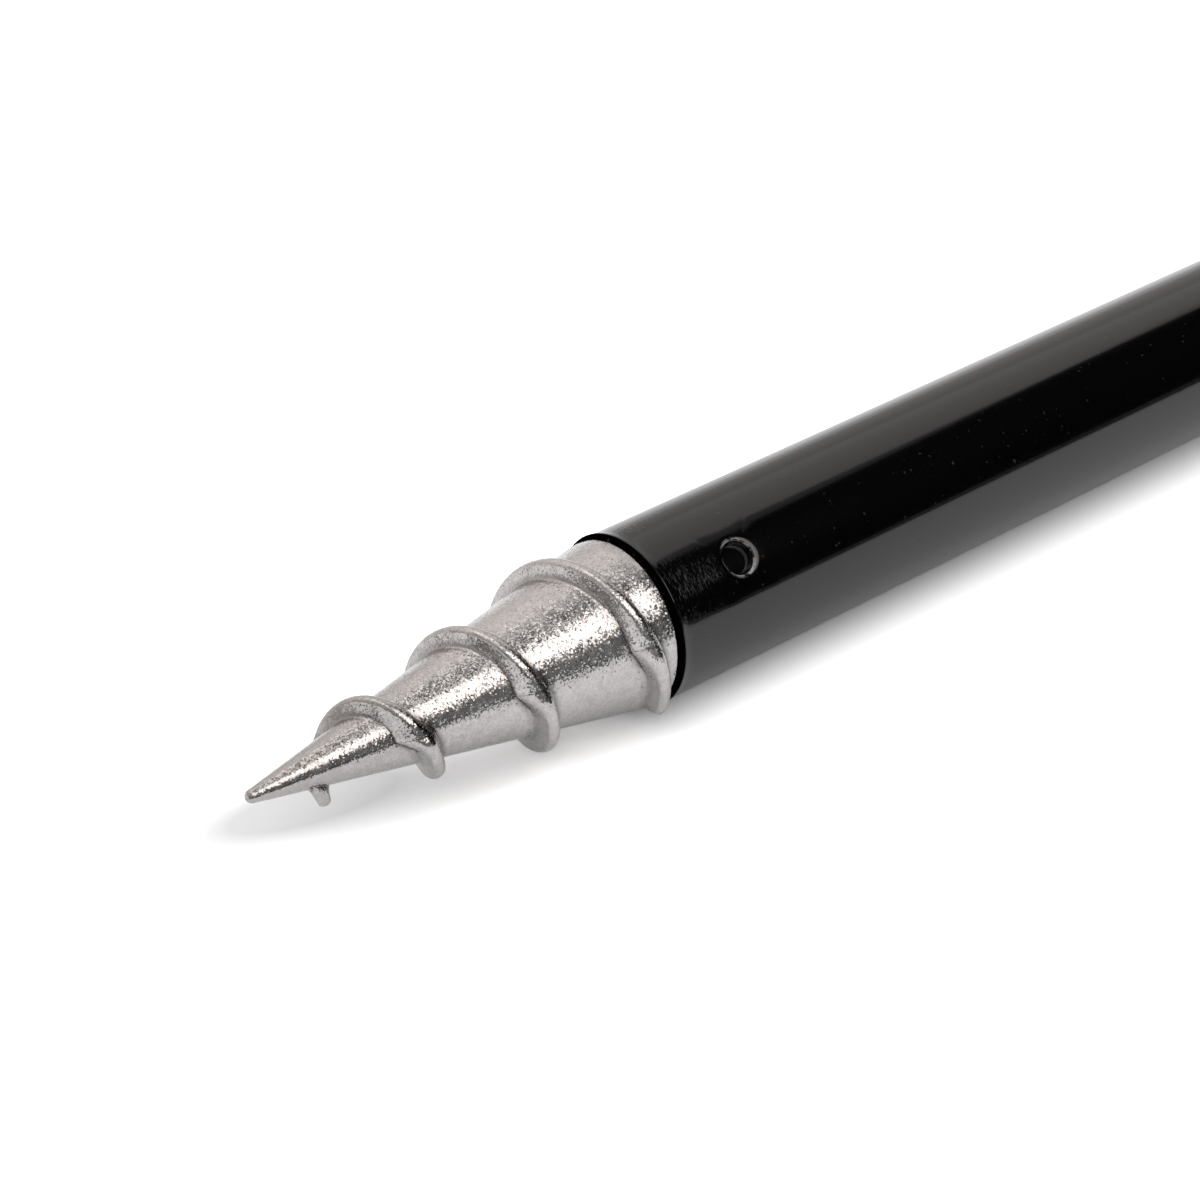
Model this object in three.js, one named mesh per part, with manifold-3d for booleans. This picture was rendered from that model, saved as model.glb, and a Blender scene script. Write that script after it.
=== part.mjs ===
// A telescopic bank stick, closed and lying on its side: a cast auger point staked into a black outer
// tube, a collar with a thumb screw at the tube's top, and an inner tube that carries a threaded head.
// Millimetres, +X from the auger's tip to the head, +Z up, origin under the middle of the stick.
import * as THREE from "three";
import { mergeVertices } from "three/addons/utils/BufferGeometryUtils.js";
import Module from "manifold-3d";

const wasm = await Module();
wasm.setup();

// Clearances
const STATIC_GAP = 0.2; // round pieces that are fixed together
const SLIDING_GAP = 0.2; // round pieces that slide or turn in each other
const END_GAP = 0.3; // ends and shoulders that stop short of each other

// Tubes
const OUTER_TUBE_OD = 20;
const OUTER_TUBE_WALL = 1;
const OUTER_TUBE_LENGTH = 365;
const MOUTH_ROUNDING = 0.6; // rounded outer corner of each end of the outer tube
const INNER_TUBE_OD = 16;
const INNER_TUBE_WALL = 1;
const TUBE_STEPS = 48; // flats round a tube
const INNER_STEPS = 32; // flats round the pieces inside and on the inner tube
const ROUNDING_STEPS = 4; // flats on a rounded corner

// Auger point: a cone with one right-hand flight, and a spigot inside the outer tube
const AUGER_LENGTH = 50.9; // tip to the outer tube's end
const AUGER_TIP_R = 0.75;
const AUGER_LAND = 1.4; // short cylinder between the cone and the tube
const AUGER_LAND_INSET = 0.3; // the land is this much smaller in radius than the tube
const SPIGOT_LENGTH = 20;
const SPIGOT_CHAMFER = 1;
const FLIGHT_LEAD = 13.85; // advance in one turn
const FLIGHT_HEIGHT = 1.65; // crest above the cone
const FLIGHT_LOWER_EXTRA = 0.4; // the lower casting half's flight stands this much higher
const FLIGHT_PROUD = 1.3; // most that the crest stands out past the tube
const FLIGHT_CREST = 1.6; // thickness of the flight at its crest
const FLIGHT_CROWN = 0.5; // depth of the crest's rounding
const FLIGHT_FRONT_FOOT = 0.35; // spread of the flight's foot towards the tip
const FLIGHT_REAR_FOOT = 0.5; // and towards the tube
const FLIGHT_START = 6.1; // from the tip to the flight's start
const FLIGHT_START_ANGLE = 185; // degrees about +X from +Y towards +Z
const FLIGHT_END_STAND_OFF = 1.6; // the flight's middle ends this far before the tube
const FLIGHT_RUN_IN = 24; // degrees over which the flight rises to its full height
const FLIGHT_RUN_OUT = 0.5; // length over which it falls off at its end
const FLIGHT_STATION_STEP = 12; // degrees between the flight's sections
const FLIGHT_FLANK_SHARES = [0, 0.3, 1]; // heights up the flank, as shares, at which it has a corner
const FLIGHT_FOOT_POWER = 3; // how fast the foot's spread runs out up the flank
const FLIGHT_CROWN_TURNS = [50, 15]; // degrees round the crest's oval to its corners on each side
const FLIGHT_TUBE_GAP = 0.05; // the flight's foot keeps this far off the tube
const AUGER_STEPS = 40; // flats round the cone
const FLIGHT_SINK = 0.5; // the flight's root reaches this far into the cone
const CASTING_PULL_ANGLE = 72; // the direction in which the two casting halves part
const CASTING_BLEND = 18; // degrees in which the cast-in fill runs out past the parting line
const CASTING_STEP = 10; // degrees in which the flight's height changes past the parting line

// Staking: a ring of punched dimples holds a tube on the spigot inside it
const DIMPLE_COUNT = 3;
const DIMPLE_FIRST_ANGLE = 135; // degrees about +X from +Y towards +Z
const DIMPLE_MOUTH_D = 4.1;
const DIMPLE_FLOOR_D = 1.5;
const DIMPLE_DEPTH = 1.6;
const DIMPLE_SETBACK = 11.1; // from the outer tube's end to the dimples
const HEAD_DIMPLE_SETBACK = 9; // from the inner tube's top end to its dimples
const PUNCH_THINNING = 0.8; // share of the wall that is left under a punch
const PUNCH_SPREAD = 0.5; // the bump inside is wider than the punch by this share of the wall
const DIMPLE_STEPS = 20;

// Collar on the outer tube's top, with a boss for the thumb screw
const COLLAR_R = 12.5;
const COLLAR_LAP = 20; // length of the outer tube that the collar covers
const COLLAR_LIP = 3.5; // thickness of the collar's end wall
const COLLAR_EDGE = 0.9; // bevel of the collar's edges
const BOSS_HALF_WIDTH = 6.8;
const BOSS_REACH = 20.5; // stick axis to the boss's face
const BOSS_CORNER = 1.6; // rounding on both sides of the boss's face
const COLLAR_STEPS = 24; // flats on the collar's round side
const BUSH_FLANGE = 4.5; // thickness of the guide bush's flange
const BUSH_SLEEVE = 3.5; // length of the guide bush inside the tube
const SET_SCREW_D = 4;
const SET_SCREW_LENGTH = 2.2;
const SET_SCREW_SOCKET = 2; // across the flats of its hexagon socket

// Thumb screw, on an axis square to the stick
const SCREW_SETBACK = 9; // outer tube's top end to the screw's axis
const SCREW_D = 6;
const SCREW_HEAD_FLATS = 10;
const SCREW_HEAD_HEIGHT = 4;
const SCREW_STEPS = 20;
const INSERT_D = 9.2; // the insert fills the boss, from the collar's round to the boss's face
const PAD_D = 5.6;
const PAD_THICKNESS = 1.4;
const PAD_STEM_D = 2.2;
const PAD_STEM_LENGTH = 3.8;
const KNOB_R = 9;
const KNOB_THICKNESS = 9;
const KNOB_HUB_R = 5;
const KNOB_HUB_HEIGHT = 2.3;
const KNOB_STAND_OFF = 0.7; // boss face to the knob's hub when the screw is tight
const KNOB_FLUTES = 14;
const KNOB_FLUTE_DEPTH = 0.7;
const KNOB_EDGE = 0.6;
const KNOB_FLOOR = 3; // knob material under the screw's head, above the hub
const KNOB_BEVEL_STEPS = 2;
const CAP_D = 12.4;
const CAP_THICKNESS = 1.2;

// Inner tube's foot
const FOOT_START = 32; // outer tube's lower end to the foot bush when closed
const FOOT_LENGTH = 26; // length of the foot bush below the inner tube
const FOOT_SPIGOT = 14;
const FOOT_CHAMFER = 0.8;
const FOOT_RING_SECTION = 1.8; // thickness of the rubber rings
const FOOT_RING_SETBACKS = [5.5, 20.5]; // foot bush's lower end to the rings
const FOOT_PIN_D = 3;
const FOOT_PIN_SETBACK = 7; // inner tube's lower end to the pin
const RING_SECTION_STEPS = 8;

// Head
const HEAD_R = 10;
const HEAD_LENGTH = 22;
const HEAD_FLUTES = 18;
const HEAD_FLUTE_DEPTH = 0.5;
const FLUTE_STEPS = 4; // flats in one flute and the land beside it, on the knob and the head
const HEAD_EDGE = 0.8;
const HEAD_SPIGOT = 16;
const HEAD_INSERT_D = 12.6;
const HEAD_INSERT_LENGTH = 16;
const HEAD_FLANGE_D = 16.4;
const HEAD_FLANGE = 1.2;
const THREAD_BORE_D = 8.8; // bore of the 3/8 inch thread
const THREAD_DEPTH = 14.5;
const THREAD_CHAMFER = 0.6;

// Places along the stick, from the outer tube's lower end, and radii that several pieces share
const outerR = OUTER_TUBE_OD / 2;
const outerBore = outerR - OUTER_TUBE_WALL;
const innerR = INNER_TUBE_OD / 2;
const innerBore = innerR - INNER_TUBE_WALL;
const landR = outerR - AUGER_LAND_INSET;
const collarStart = OUTER_TUBE_LENGTH - COLLAR_LAP;
const bushTop = OUTER_TUBE_LENGTH + BUSH_FLANGE;
const collarTop = bushTop + COLLAR_LIP;
const collarBore = outerR + STATIC_GAP;
const headStart = collarTop + END_GAP;
const headTop = headStart + HEAD_LENGTH + HEAD_FLANGE;
const screwX = OUTER_TUBE_LENGTH - SCREW_SETBACK;
const innerStart = FOOT_START + FOOT_LENGTH;

// Distances from the stick's axis along the thumb screw
const padFace = innerR + SLIDING_GAP;
const screwTip = padFace + PAD_THICKNESS + STATIC_GAP;
const insertStart = COLLAR_R;
const knobStart = BOSS_REACH + KNOB_STAND_OFF;
const knobBody = knobStart + KNOB_HUB_HEIGHT;
const knobEnd = knobBody + KNOB_THICKNESS;
const headPocket = knobBody + KNOB_FLOOR;
const capStart = knobEnd - CAP_THICKNESS;

// The thumb screw points a little below level, so that the knob's rim and the collar lie on one surface.
const rimEnd = knobEnd - KNOB_EDGE;
const screwDip = Math.asin(COLLAR_R / Math.hypot(rimEnd, KNOB_R)) - Math.atan2(KNOB_R, rimEnd);
const screwAngle = Math.PI + screwDip;

const DEGREE = Math.PI / 180;

// Puts a shape that was drawn in X and Y and extruded along Z across the stick, so that it runs along X.
const ACROSS_STICK = new THREE.Matrix4().makeBasis(
  new THREE.Vector3(0, 1, 0),
  new THREE.Vector3(0, 0, 1),
  new THREE.Vector3(1, 0, 0),
);

// A closed solid of a geometry, for joining and cutting.
function solidOf(geometry) {
  const bare = geometry.clone();
  bare.deleteAttribute("normal");
  bare.deleteAttribute("uv");
  const merged = mergeVertices(bare, 1e-4);
  return new wasm.Manifold(
    new wasm.Mesh({
      numProp: 3,
      vertProperties: merged.attributes.position.array,
      triVerts: new Uint32Array(merged.index.array),
    }),
  );
}

// The geometry of a joined or cut solid.
function geometryOf(solid) {
  const mesh = solid.getMesh();
  const geometry = new THREE.BufferGeometry();
  geometry.setAttribute("position", new THREE.BufferAttribute(mesh.vertProperties, 3));
  geometry.setIndex(new THREE.BufferAttribute(mesh.triVerts, 1));
  return geometry;
}

// A solid turned about Y from [height, radius] points, which go up the outside.
function turned(points, steps) {
  const outline = points.map(([height, radius]) => new THREE.Vector2(radius, height));
  return new THREE.LatheGeometry(outline, steps);
}

// The same, turned about the stick's own axis.
function turnedOnStick(points, steps = TUBE_STEPS) {
  return turned(points, steps).rotateZ(-Math.PI / 2);
}

// Outline of a plain rod, or of a ring where an inner radius is given.
function rodOutline(start, end, radius, innerRadius = 0) {
  const outside = [
    [start, innerRadius],
    [start, radius],
    [end, radius],
    [end, innerRadius],
  ];
  return innerRadius > 0 ? [...outside, [start, innerRadius]] : outside;
}

// Points of an arc in [height, radius], from one angle to another in degrees.
function arc(height, radius, size, from, to, steps) {
  return Array.from({ length: steps + 1 }, (_, i) => {
    const angle = (from + ((to - from) * i) / steps) * DEGREE;
    return [height + size * Math.cos(angle), radius + size * Math.sin(angle)];
  });
}

// A solid that stands on the stick's axis at x and points out at an angle about it.
function radial(geometry, x, angle) {
  return geometry.rotateX(angle).translate(x, 0, 0);
}

function hexagon(flats) {
  const corner = flats / Math.sqrt(3);
  const shape = new THREE.Shape();
  for (let i = 0; i < 6; i += 1) {
    const angle = i * 60 * DEGREE;
    const place = [corner * Math.cos(angle), corner * Math.sin(angle)];
    if (i === 0) shape.moveTo(...place);
    else shape.lineTo(...place);
  }
  shape.closePath();
  return shape;
}

// A round outline with shallow rounded flutes.
function flutedOutline(radius, flutes, depth) {
  const points = [];
  const steps = flutes * FLUTE_STEPS;
  for (let i = 0; i < steps; i += 1) {
    const angle = (i / steps) * 2 * Math.PI;
    const dip = Math.max(0, Math.cos(angle * flutes)) * depth;
    points.push(
      new THREE.Vector2((radius - dip) * Math.cos(angle), (radius - dip) * Math.sin(angle)),
    );
  }
  return new THREE.Shape(points);
}

// A prism along +Y from one height to another, with bevelled edges where a bevel is given.
function prism(shape, start, end, bevel = 0) {
  const geometry = new THREE.ExtrudeGeometry(shape, {
    depth: end - start - 2 * bevel,
    bevelEnabled: bevel > 0,
    bevelThickness: bevel,
    bevelSize: bevel,
    bevelOffset: -bevel,
    bevelSegments: KNOB_BEVEL_STEPS,
  });
  return geometry.translate(0, 0, start + bevel).rotateX(-Math.PI / 2);
}

// Radius of the auger's cone at x, before the land
const coneRise = (landR - AUGER_TIP_R) / (AUGER_LENGTH - AUGER_TIP_R - AUGER_LAND);
function coneR(x) {
  return Math.min(landR, landR + coneRise * (x + AUGER_LAND));
}

// How far, in degrees of the helix, casting fills the flight's flank at a point. Seen along the pull, a
// point further out hides the flank under it up to the parting line, so the metal is filled up to that
// shadow. Turn is the angle from the pull, 0 to 180, and share the point's radius over the outer one's.
function castFill(turn, share) {
  if (turn <= 90) return turn - Math.asin(share * Math.sin(turn * DEGREE)) / DEGREE;
  const fade = Math.max(0, 1 - (turn - 90) / CASTING_BLEND);
  return fade * (90 - Math.asin(share) / DEGREE);
}

function clampToShare(value) {
  return Math.min(1, Math.max(0, value));
}

// Height of the flight's crest above the cone
function flightHeight(along, angle, middle) {
  const pastParting = (((angle - CASTING_PULL_ANGLE - 90) % 360) + 360) % 360;
  const lower = clampToShare(Math.min(pastParting, 180 - pastParting) / CASTING_STEP);
  const rise = Math.sin((clampToShare(along / FLIGHT_RUN_IN) * Math.PI) / 2);
  const fall = clampToShare(-(middle + FLIGHT_END_STAND_OFF) / FLIGHT_RUN_OUT);
  const full = (FLIGHT_HEIGHT + lower * FLIGHT_LOWER_EXTRA) * rise;
  return Math.min(full, outerR + FLIGHT_PROUD - coneR(middle)) * fall;
}

// The flight's section at one station: [x, radius] points from its front root over the crest to the rear.
function flightSection(along, angle) {
  const middle = -AUGER_LENGTH + FLIGHT_START + (FLIGHT_LEAD * along) / 360;
  const height = flightHeight(along, angle, middle);
  const crestR = coneR(middle) + height;
  const halfCrest = Math.min(FLIGHT_CREST / 2, height);
  const crown = Math.min(FLIGHT_CROWN, height);
  const turn = (((angle - CASTING_PULL_ANGLE) % 180) + 180) % 180;
  const half = (side, spread, seen) => {
    const flank = FLIGHT_FLANK_SHARES.map((share) => {
      const offset = halfCrest + spread * (1 - share) ** FLIGHT_FOOT_POWER;
      const surface = coneR(middle + side * offset);
      return [offset, surface + share * (crestR - crown - surface)];
    });
    const oval = FLIGHT_CROWN_TURNS.map((degrees) => [
      halfCrest * Math.sin(degrees * DEGREE),
      crestR - crown * (1 - Math.cos(degrees * DEGREE)),
    ]);
    const rows = [...flank, ...oval];
    return rows.map(([, radius], i) => {
      const reaches = rows.slice(i).map(([offset, outer]) => {
        const fill = castFill(seen, Math.min(1, radius / outer));
        return offset + (FLIGHT_LEAD * fill) / 360;
      });
      return [Math.min(middle + side * Math.max(...reaches), -FLIGHT_TUBE_GAP), radius];
    });
  };
  const front = half(-1, FLIGHT_FRONT_FOOT, turn);
  const rear = half(1, FLIGHT_REAR_FOOT, 180 - turn).reverse();
  const [frontX] = front[0];
  const [rearX] = rear[rear.length - 1];
  const under = (x) => [x, coneR(x) - FLIGHT_SINK];
  return [under(frontX), ...front, ...rear, under(rearX)];
}

// The flight: one closed skin through all the sections, its two ends closed inside the cone.
function flight() {
  const run = AUGER_LENGTH - FLIGHT_START - FLIGHT_END_STAND_OFF;
  const stations = Math.round(((run / FLIGHT_LEAD) * 360) / FLIGHT_STATION_STEP);
  const positions = [];
  let corners = 0;
  for (let i = 0; i <= stations; i += 1) {
    const along = i * FLIGHT_STATION_STEP;
    const angle = FLIGHT_START_ANGLE + along;
    const section = flightSection(along, angle);
    corners = section.length;
    for (const [x, r] of section) {
      positions.push(x, r * Math.cos(angle * DEGREE), r * Math.sin(angle * DEGREE));
    }
  }
  const index = [];
  const quad = (a, b, c, d) => index.push(a, d, b, b, d, c);
  for (let i = 0; i < stations; i += 1) {
    for (let j = 0; j < corners; j += 1) {
      const a = i * corners + j;
      const b = i * corners + ((j + 1) % corners);
      quad(a, b, b + corners, a + corners);
    }
  }
  const last = stations * corners;
  for (let j = 0; j < corners / 2 - 1; j += 1) {
    const k = corners - 1 - j;
    quad(j, k, k - 1, j + 1);
    quad(last + j, last + j + 1, last + k - 1, last + k);
  }
  const geometry = new THREE.BufferGeometry();
  geometry.setAttribute("position", new THREE.Float32BufferAttribute(positions, 3));
  geometry.setIndex(index);
  return geometry;
}

// How far in the inside of a dimple reaches, as a radius
function dimpleReach(tubeR, wall) {
  return tubeR - DIMPLE_DEPTH - wall * PUNCH_THINNING;
}

// Punches a ring of dimples into a tube's wall: each is a bump inside and a cone cut outside.
function staked(tube, tubeR, wall, x) {
  const reach = dimpleReach(tubeR, wall);
  const spread = wall * PUNCH_SPREAD;
  const bump = [
    [reach, 0],
    [reach, DIMPLE_FLOOR_D / 2 + spread],
    [tubeR - wall / 2, DIMPLE_MOUTH_D / 2 + spread],
    [tubeR - wall / 2, 0],
  ];
  const cut = [
    [tubeR - DIMPLE_DEPTH, 0],
    [tubeR - DIMPLE_DEPTH, DIMPLE_FLOOR_D / 2],
    [tubeR, DIMPLE_MOUTH_D / 2],
    [tubeR + wall, DIMPLE_MOUTH_D / 2 + wall],
    [tubeR + wall, 0],
  ];
  let solid = tube;
  for (let i = 0; i < DIMPLE_COUNT; i += 1) {
    const angle = (DIMPLE_FIRST_ANGLE + (360 * i) / DIMPLE_COUNT) * DEGREE;
    solid = solid.add(solidOf(radial(turned(bump, DIMPLE_STEPS), x, angle)));
    solid = solid.subtract(solidOf(radial(turned(cut, DIMPLE_STEPS), x, angle)));
  }
  return solid;
}

// The groove round a spigot that the dimples' bumps seat in, as outline points along the spigot
function stakingGroove(tubeR, wall, spigotR, x) {
  const floorR = dimpleReach(tubeR, wall) - END_GAP;
  const spread = wall * PUNCH_SPREAD + END_GAP;
  const floorHalf = DIMPLE_FLOOR_D / 2 + spread;
  const mouthHalf = DIMPLE_MOUTH_D / 2 + spread;
  return [
    [x - mouthHalf, spigotR],
    [x - floorHalf, floorR],
    [x + floorHalf, floorR],
    [x + mouthHalf, spigotR],
  ];
}

// A plain tube between two places, its outer corners rounded where a rounding is given
function tubeOutline(start, end, radius, bore, rounding = 0) {
  if (rounding === 0) return rodOutline(start, end, radius, bore);
  return [
    [start, bore],
    ...arc(start + rounding, radius - rounding, rounding, 180, 90, ROUNDING_STEPS),
    ...arc(end - rounding, radius - rounding, rounding, 90, 0, ROUNDING_STEPS),
    [end, bore],
    [start, bore],
  ];
}

function augerPoint() {
  const spigotR = outerBore - STATIC_GAP;
  const tipCentre = -AUGER_LENGTH + AUGER_TIP_R;
  const tipEnd = 90 + Math.atan(coneRise) / DEGREE;
  const outline = [
    ...arc(tipCentre, 0, AUGER_TIP_R, 180, tipEnd, ROUNDING_STEPS),
    [-AUGER_LAND, landR],
    [0, landR],
    [0, spigotR],
    ...stakingGroove(outerR, OUTER_TUBE_WALL, spigotR, DIMPLE_SETBACK),
    [SPIGOT_LENGTH - SPIGOT_CHAMFER, spigotR],
    [SPIGOT_LENGTH, spigotR - SPIGOT_CHAMFER],
    [SPIGOT_LENGTH, 0],
  ];
  const body = solidOf(turnedOnStick(outline, AUGER_STEPS));
  return geometryOf(body.add(solidOf(flight())));
}

function outerTube() {
  const outline = tubeOutline(0, OUTER_TUBE_LENGTH, outerR, outerBore, MOUTH_ROUNDING);
  const tube = staked(solidOf(turnedOnStick(outline)), outerR, OUTER_TUBE_WALL, DIMPLE_SETBACK);
  const holeR = SCREW_D / 2 + END_GAP;
  const hole = turned(rodOutline(0, outerR + OUTER_TUBE_WALL, holeR), SCREW_STEPS);
  return geometryOf(tube.subtract(solidOf(radial(hole, screwX, screwAngle))));
}

// The collar's pear-shaped outline: a circle round the tube, drawn out to the boss's flat face.
function collarShape() {
  const cornerX = BOSS_REACH - BOSS_CORNER;
  const cornerY = BOSS_HALF_WIDTH - BOSS_CORNER;
  const lean = Math.acos((COLLAR_R - BOSS_CORNER) / Math.hypot(cornerX, cornerY));
  const side = (Math.atan2(cornerY, cornerX) + lean) / DEGREE;
  const points = [
    ...arc(0, 0, COLLAR_R, side, 360 - side, COLLAR_STEPS),
    ...arc(cornerX, -cornerY, BOSS_CORNER, -side, 0, ROUNDING_STEPS),
    ...arc(cornerX, cornerY, BOSS_CORNER, 0, side, ROUNDING_STEPS),
  ];
  return new THREE.Shape(points.map(([x, y]) => new THREE.Vector2(x, y)));
}

function clampCollar() {
  const body = new THREE.ExtrudeGeometry(collarShape(), {
    depth: collarTop - collarStart - 2 * COLLAR_EDGE,
    bevelThickness: COLLAR_EDGE,
    bevelSize: COLLAR_EDGE,
    bevelOffset: -COLLAR_EDGE,
    bevelSegments: 1,
  });
  body.translate(0, 0, collarStart + COLLAR_EDGE).applyMatrix4(ACROSS_STICK).rotateX(screwAngle);
  const past = COLLAR_EDGE;
  const hole = (start, end, radius, angle) =>
    radial(turned(rodOutline(start, end, radius), SCREW_STEPS), screwX, angle);
  const cuts = [
    turnedOnStick(rodOutline(collarStart - past, bushTop, collarBore)),
    turnedOnStick(rodOutline(bushTop - past, collarTop + past, innerR + 2 * SLIDING_GAP)),
    hole(0, BOSS_REACH, SCREW_D / 2 + END_GAP, screwAngle),
    hole(insertStart - END_GAP, BOSS_REACH + past, INSERT_D / 2 + STATIC_GAP, screwAngle),
    hole(0, COLLAR_R + past, SET_SCREW_D / 2 + STATIC_GAP, screwAngle + Math.PI),
  ];
  return geometryOf(cuts.reduce((solid, cut) => solid.subtract(solidOf(cut)), solidOf(body)));
}

function collarSetScrew() {
  const start = outerR + STATIC_GAP;
  const end = start + SET_SCREW_LENGTH;
  const rod = turned(rodOutline(start, end, SET_SCREW_D / 2), SCREW_STEPS);
  const socketStart = end - SET_SCREW_LENGTH / 2;
  const socket = prism(hexagon(SET_SCREW_SOCKET), socketStart, end + SET_SCREW_LENGTH);
  return geometryOf(solidOf(rod).subtract(solidOf(socket)));
}

function guideBush() {
  const bore = innerR + SLIDING_GAP;
  const sleeveR = outerBore - STATIC_GAP;
  const flangeR = collarBore - STATIC_GAP;
  const outline = [
    [OUTER_TUBE_LENGTH - BUSH_SLEEVE, bore],
    [OUTER_TUBE_LENGTH - BUSH_SLEEVE, sleeveR],
    [OUTER_TUBE_LENGTH, sleeveR],
    [OUTER_TUBE_LENGTH, flangeR],
    [bushTop, flangeR],
    [bushTop, bore],
    [OUTER_TUBE_LENGTH - BUSH_SLEEVE, bore],
  ];
  return turnedOnStick(outline, INNER_STEPS);
}

function bossInsert() {
  return turned(
    rodOutline(insertStart, BOSS_REACH, INSERT_D / 2, SCREW_D / 2 + SLIDING_GAP),
    SCREW_STEPS,
  );
}

function lockScrew() {
  const start = headPocket + END_GAP / 2;
  const shank = solidOf(turned(rodOutline(screwTip, start + END_GAP, SCREW_D / 2), SCREW_STEPS));
  const head = solidOf(prism(hexagon(SCREW_HEAD_FLATS), start, start + SCREW_HEAD_HEIGHT));
  const stemHole = rodOutline(
    screwTip - END_GAP,
    screwTip + PAD_STEM_LENGTH,
    PAD_STEM_D / 2 + STATIC_GAP,
  );
  return geometryOf(shank.add(head).subtract(solidOf(turned(stemHole, SCREW_STEPS))));
}

function lockPad() {
  const back = padFace + PAD_THICKNESS;
  const outline = [
    [padFace, 0],
    [padFace, PAD_D / 2],
    [back, PAD_D / 2],
    [back, PAD_STEM_D / 2],
    [back + PAD_STEM_LENGTH, PAD_STEM_D / 2],
    [back + PAD_STEM_LENGTH, 0],
  ];
  return turned(outline, SCREW_STEPS);
}

function lockKnob() {
  const outline = flutedOutline(KNOB_R, KNOB_FLUTES, KNOB_FLUTE_DEPTH);
  const rim = prism(outline, knobBody, knobEnd, KNOB_EDGE);
  const past = KNOB_EDGE;
  const rod = (start, end, radius) => turned(rodOutline(start, end, radius), SCREW_STEPS);
  const hub = rod(knobStart, knobBody + past, KNOB_HUB_R);
  const cuts = [
    rod(knobStart - past, headPocket + past, SCREW_D / 2 + STATIC_GAP),
    prism(hexagon(SCREW_HEAD_FLATS + 2 * STATIC_GAP), headPocket, capStart),
    rod(capStart - END_GAP, knobEnd + past, CAP_D / 2 + STATIC_GAP),
  ];
  const body = solidOf(rim).add(solidOf(hub));
  return geometryOf(cuts.reduce((solid, cut) => solid.subtract(solidOf(cut)), body));
}

function knobCap() {
  return turned(rodOutline(capStart, knobEnd, CAP_D / 2), SCREW_STEPS);
}

function innerTube() {
  const outline = tubeOutline(innerStart, headStart, innerR, innerBore);
  const dimpleX = headStart - HEAD_DIMPLE_SETBACK;
  const plain = solidOf(turnedOnStick(outline, INNER_STEPS));
  const tube = staked(plain, innerR, INNER_TUBE_WALL, dimpleX);
  return geometryOf(tube.subtract(solidOf(footPinHole())));
}

// The hole for the foot's cross pin, right through the inner tube
function footPinHole() {
  const reach = innerR + INNER_TUBE_WALL;
  const hole = turned(rodOutline(-reach, reach, FOOT_PIN_D / 2 + STATIC_GAP), SCREW_STEPS);
  return hole.translate(innerStart + FOOT_PIN_SETBACK, 0, 0);
}

function footBush() {
  const landRadius = outerBore - SLIDING_GAP;
  const spigotR = innerBore - STATIC_GAP;
  const grooveFloor = landRadius - FOOT_RING_SECTION;
  const grooveHalf = FOOT_RING_SECTION / 2 + STATIC_GAP;
  const grooves = FOOT_RING_SETBACKS.flatMap((setback) => {
    const middle = FOOT_START + setback;
    return [
      [middle - grooveHalf, landRadius],
      [middle - grooveHalf, grooveFloor],
      [middle + grooveHalf, grooveFloor],
      [middle + grooveHalf, landRadius],
    ];
  });
  const outline = [
    [FOOT_START, 0],
    [FOOT_START, landRadius - FOOT_CHAMFER],
    [FOOT_START + FOOT_CHAMFER, landRadius],
    ...grooves,
    [innerStart, landRadius],
    [innerStart, spigotR],
    [innerStart + FOOT_SPIGOT, spigotR],
    [innerStart + FOOT_SPIGOT, 0],
  ];
  const bush = solidOf(turnedOnStick(outline, INNER_STEPS));
  return geometryOf(bush.subtract(solidOf(footPinHole())));
}

function footRing(setback) {
  const half = FOOT_RING_SECTION / 2;
  const ringR = outerBore - SLIDING_GAP / 2 - half;
  const section = arc(FOOT_START + setback, ringR, half, 180, -180, RING_SECTION_STEPS);
  return turnedOnStick(section, INNER_STEPS);
}

function footPin() {
  const pin = turned(rodOutline(-innerR, innerR, FOOT_PIN_D / 2), SCREW_STEPS);
  return pin.translate(innerStart + FOOT_PIN_SETBACK, 0, 0);
}

function headCap() {
  const barrel = new THREE.ExtrudeGeometry(flutedOutline(HEAD_R, HEAD_FLUTES, HEAD_FLUTE_DEPTH), {
    depth: HEAD_LENGTH - 2 * HEAD_EDGE,
    bevelThickness: HEAD_EDGE,
    bevelSize: HEAD_EDGE,
    bevelOffset: -HEAD_EDGE,
    bevelSegments: 1,
  });
  barrel.translate(0, 0, headStart + HEAD_EDGE).applyMatrix4(ACROSS_STICK);
  const spigotR = innerBore - STATIC_GAP;
  const spigotOutline = [
    [headStart - HEAD_SPIGOT, 0],
    [headStart - HEAD_SPIGOT, spigotR],
    ...stakingGroove(innerR, INNER_TUBE_WALL, spigotR, headStart - HEAD_DIMPLE_SETBACK),
    [headStart + HEAD_EDGE, spigotR],
    [headStart + HEAD_EDGE, 0],
  ];
  const spigot = turnedOnStick(spigotOutline, INNER_STEPS);
  const top = headStart + HEAD_LENGTH;
  const pocketR = HEAD_INSERT_D / 2 + STATIC_GAP;
  const pocket = rodOutline(top - HEAD_INSERT_LENGTH - END_GAP, top + HEAD_EDGE, pocketR);
  const body = solidOf(barrel).add(solidOf(spigot));
  return geometryOf(body.subtract(solidOf(turnedOnStick(pocket, INNER_STEPS))));
}

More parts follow.
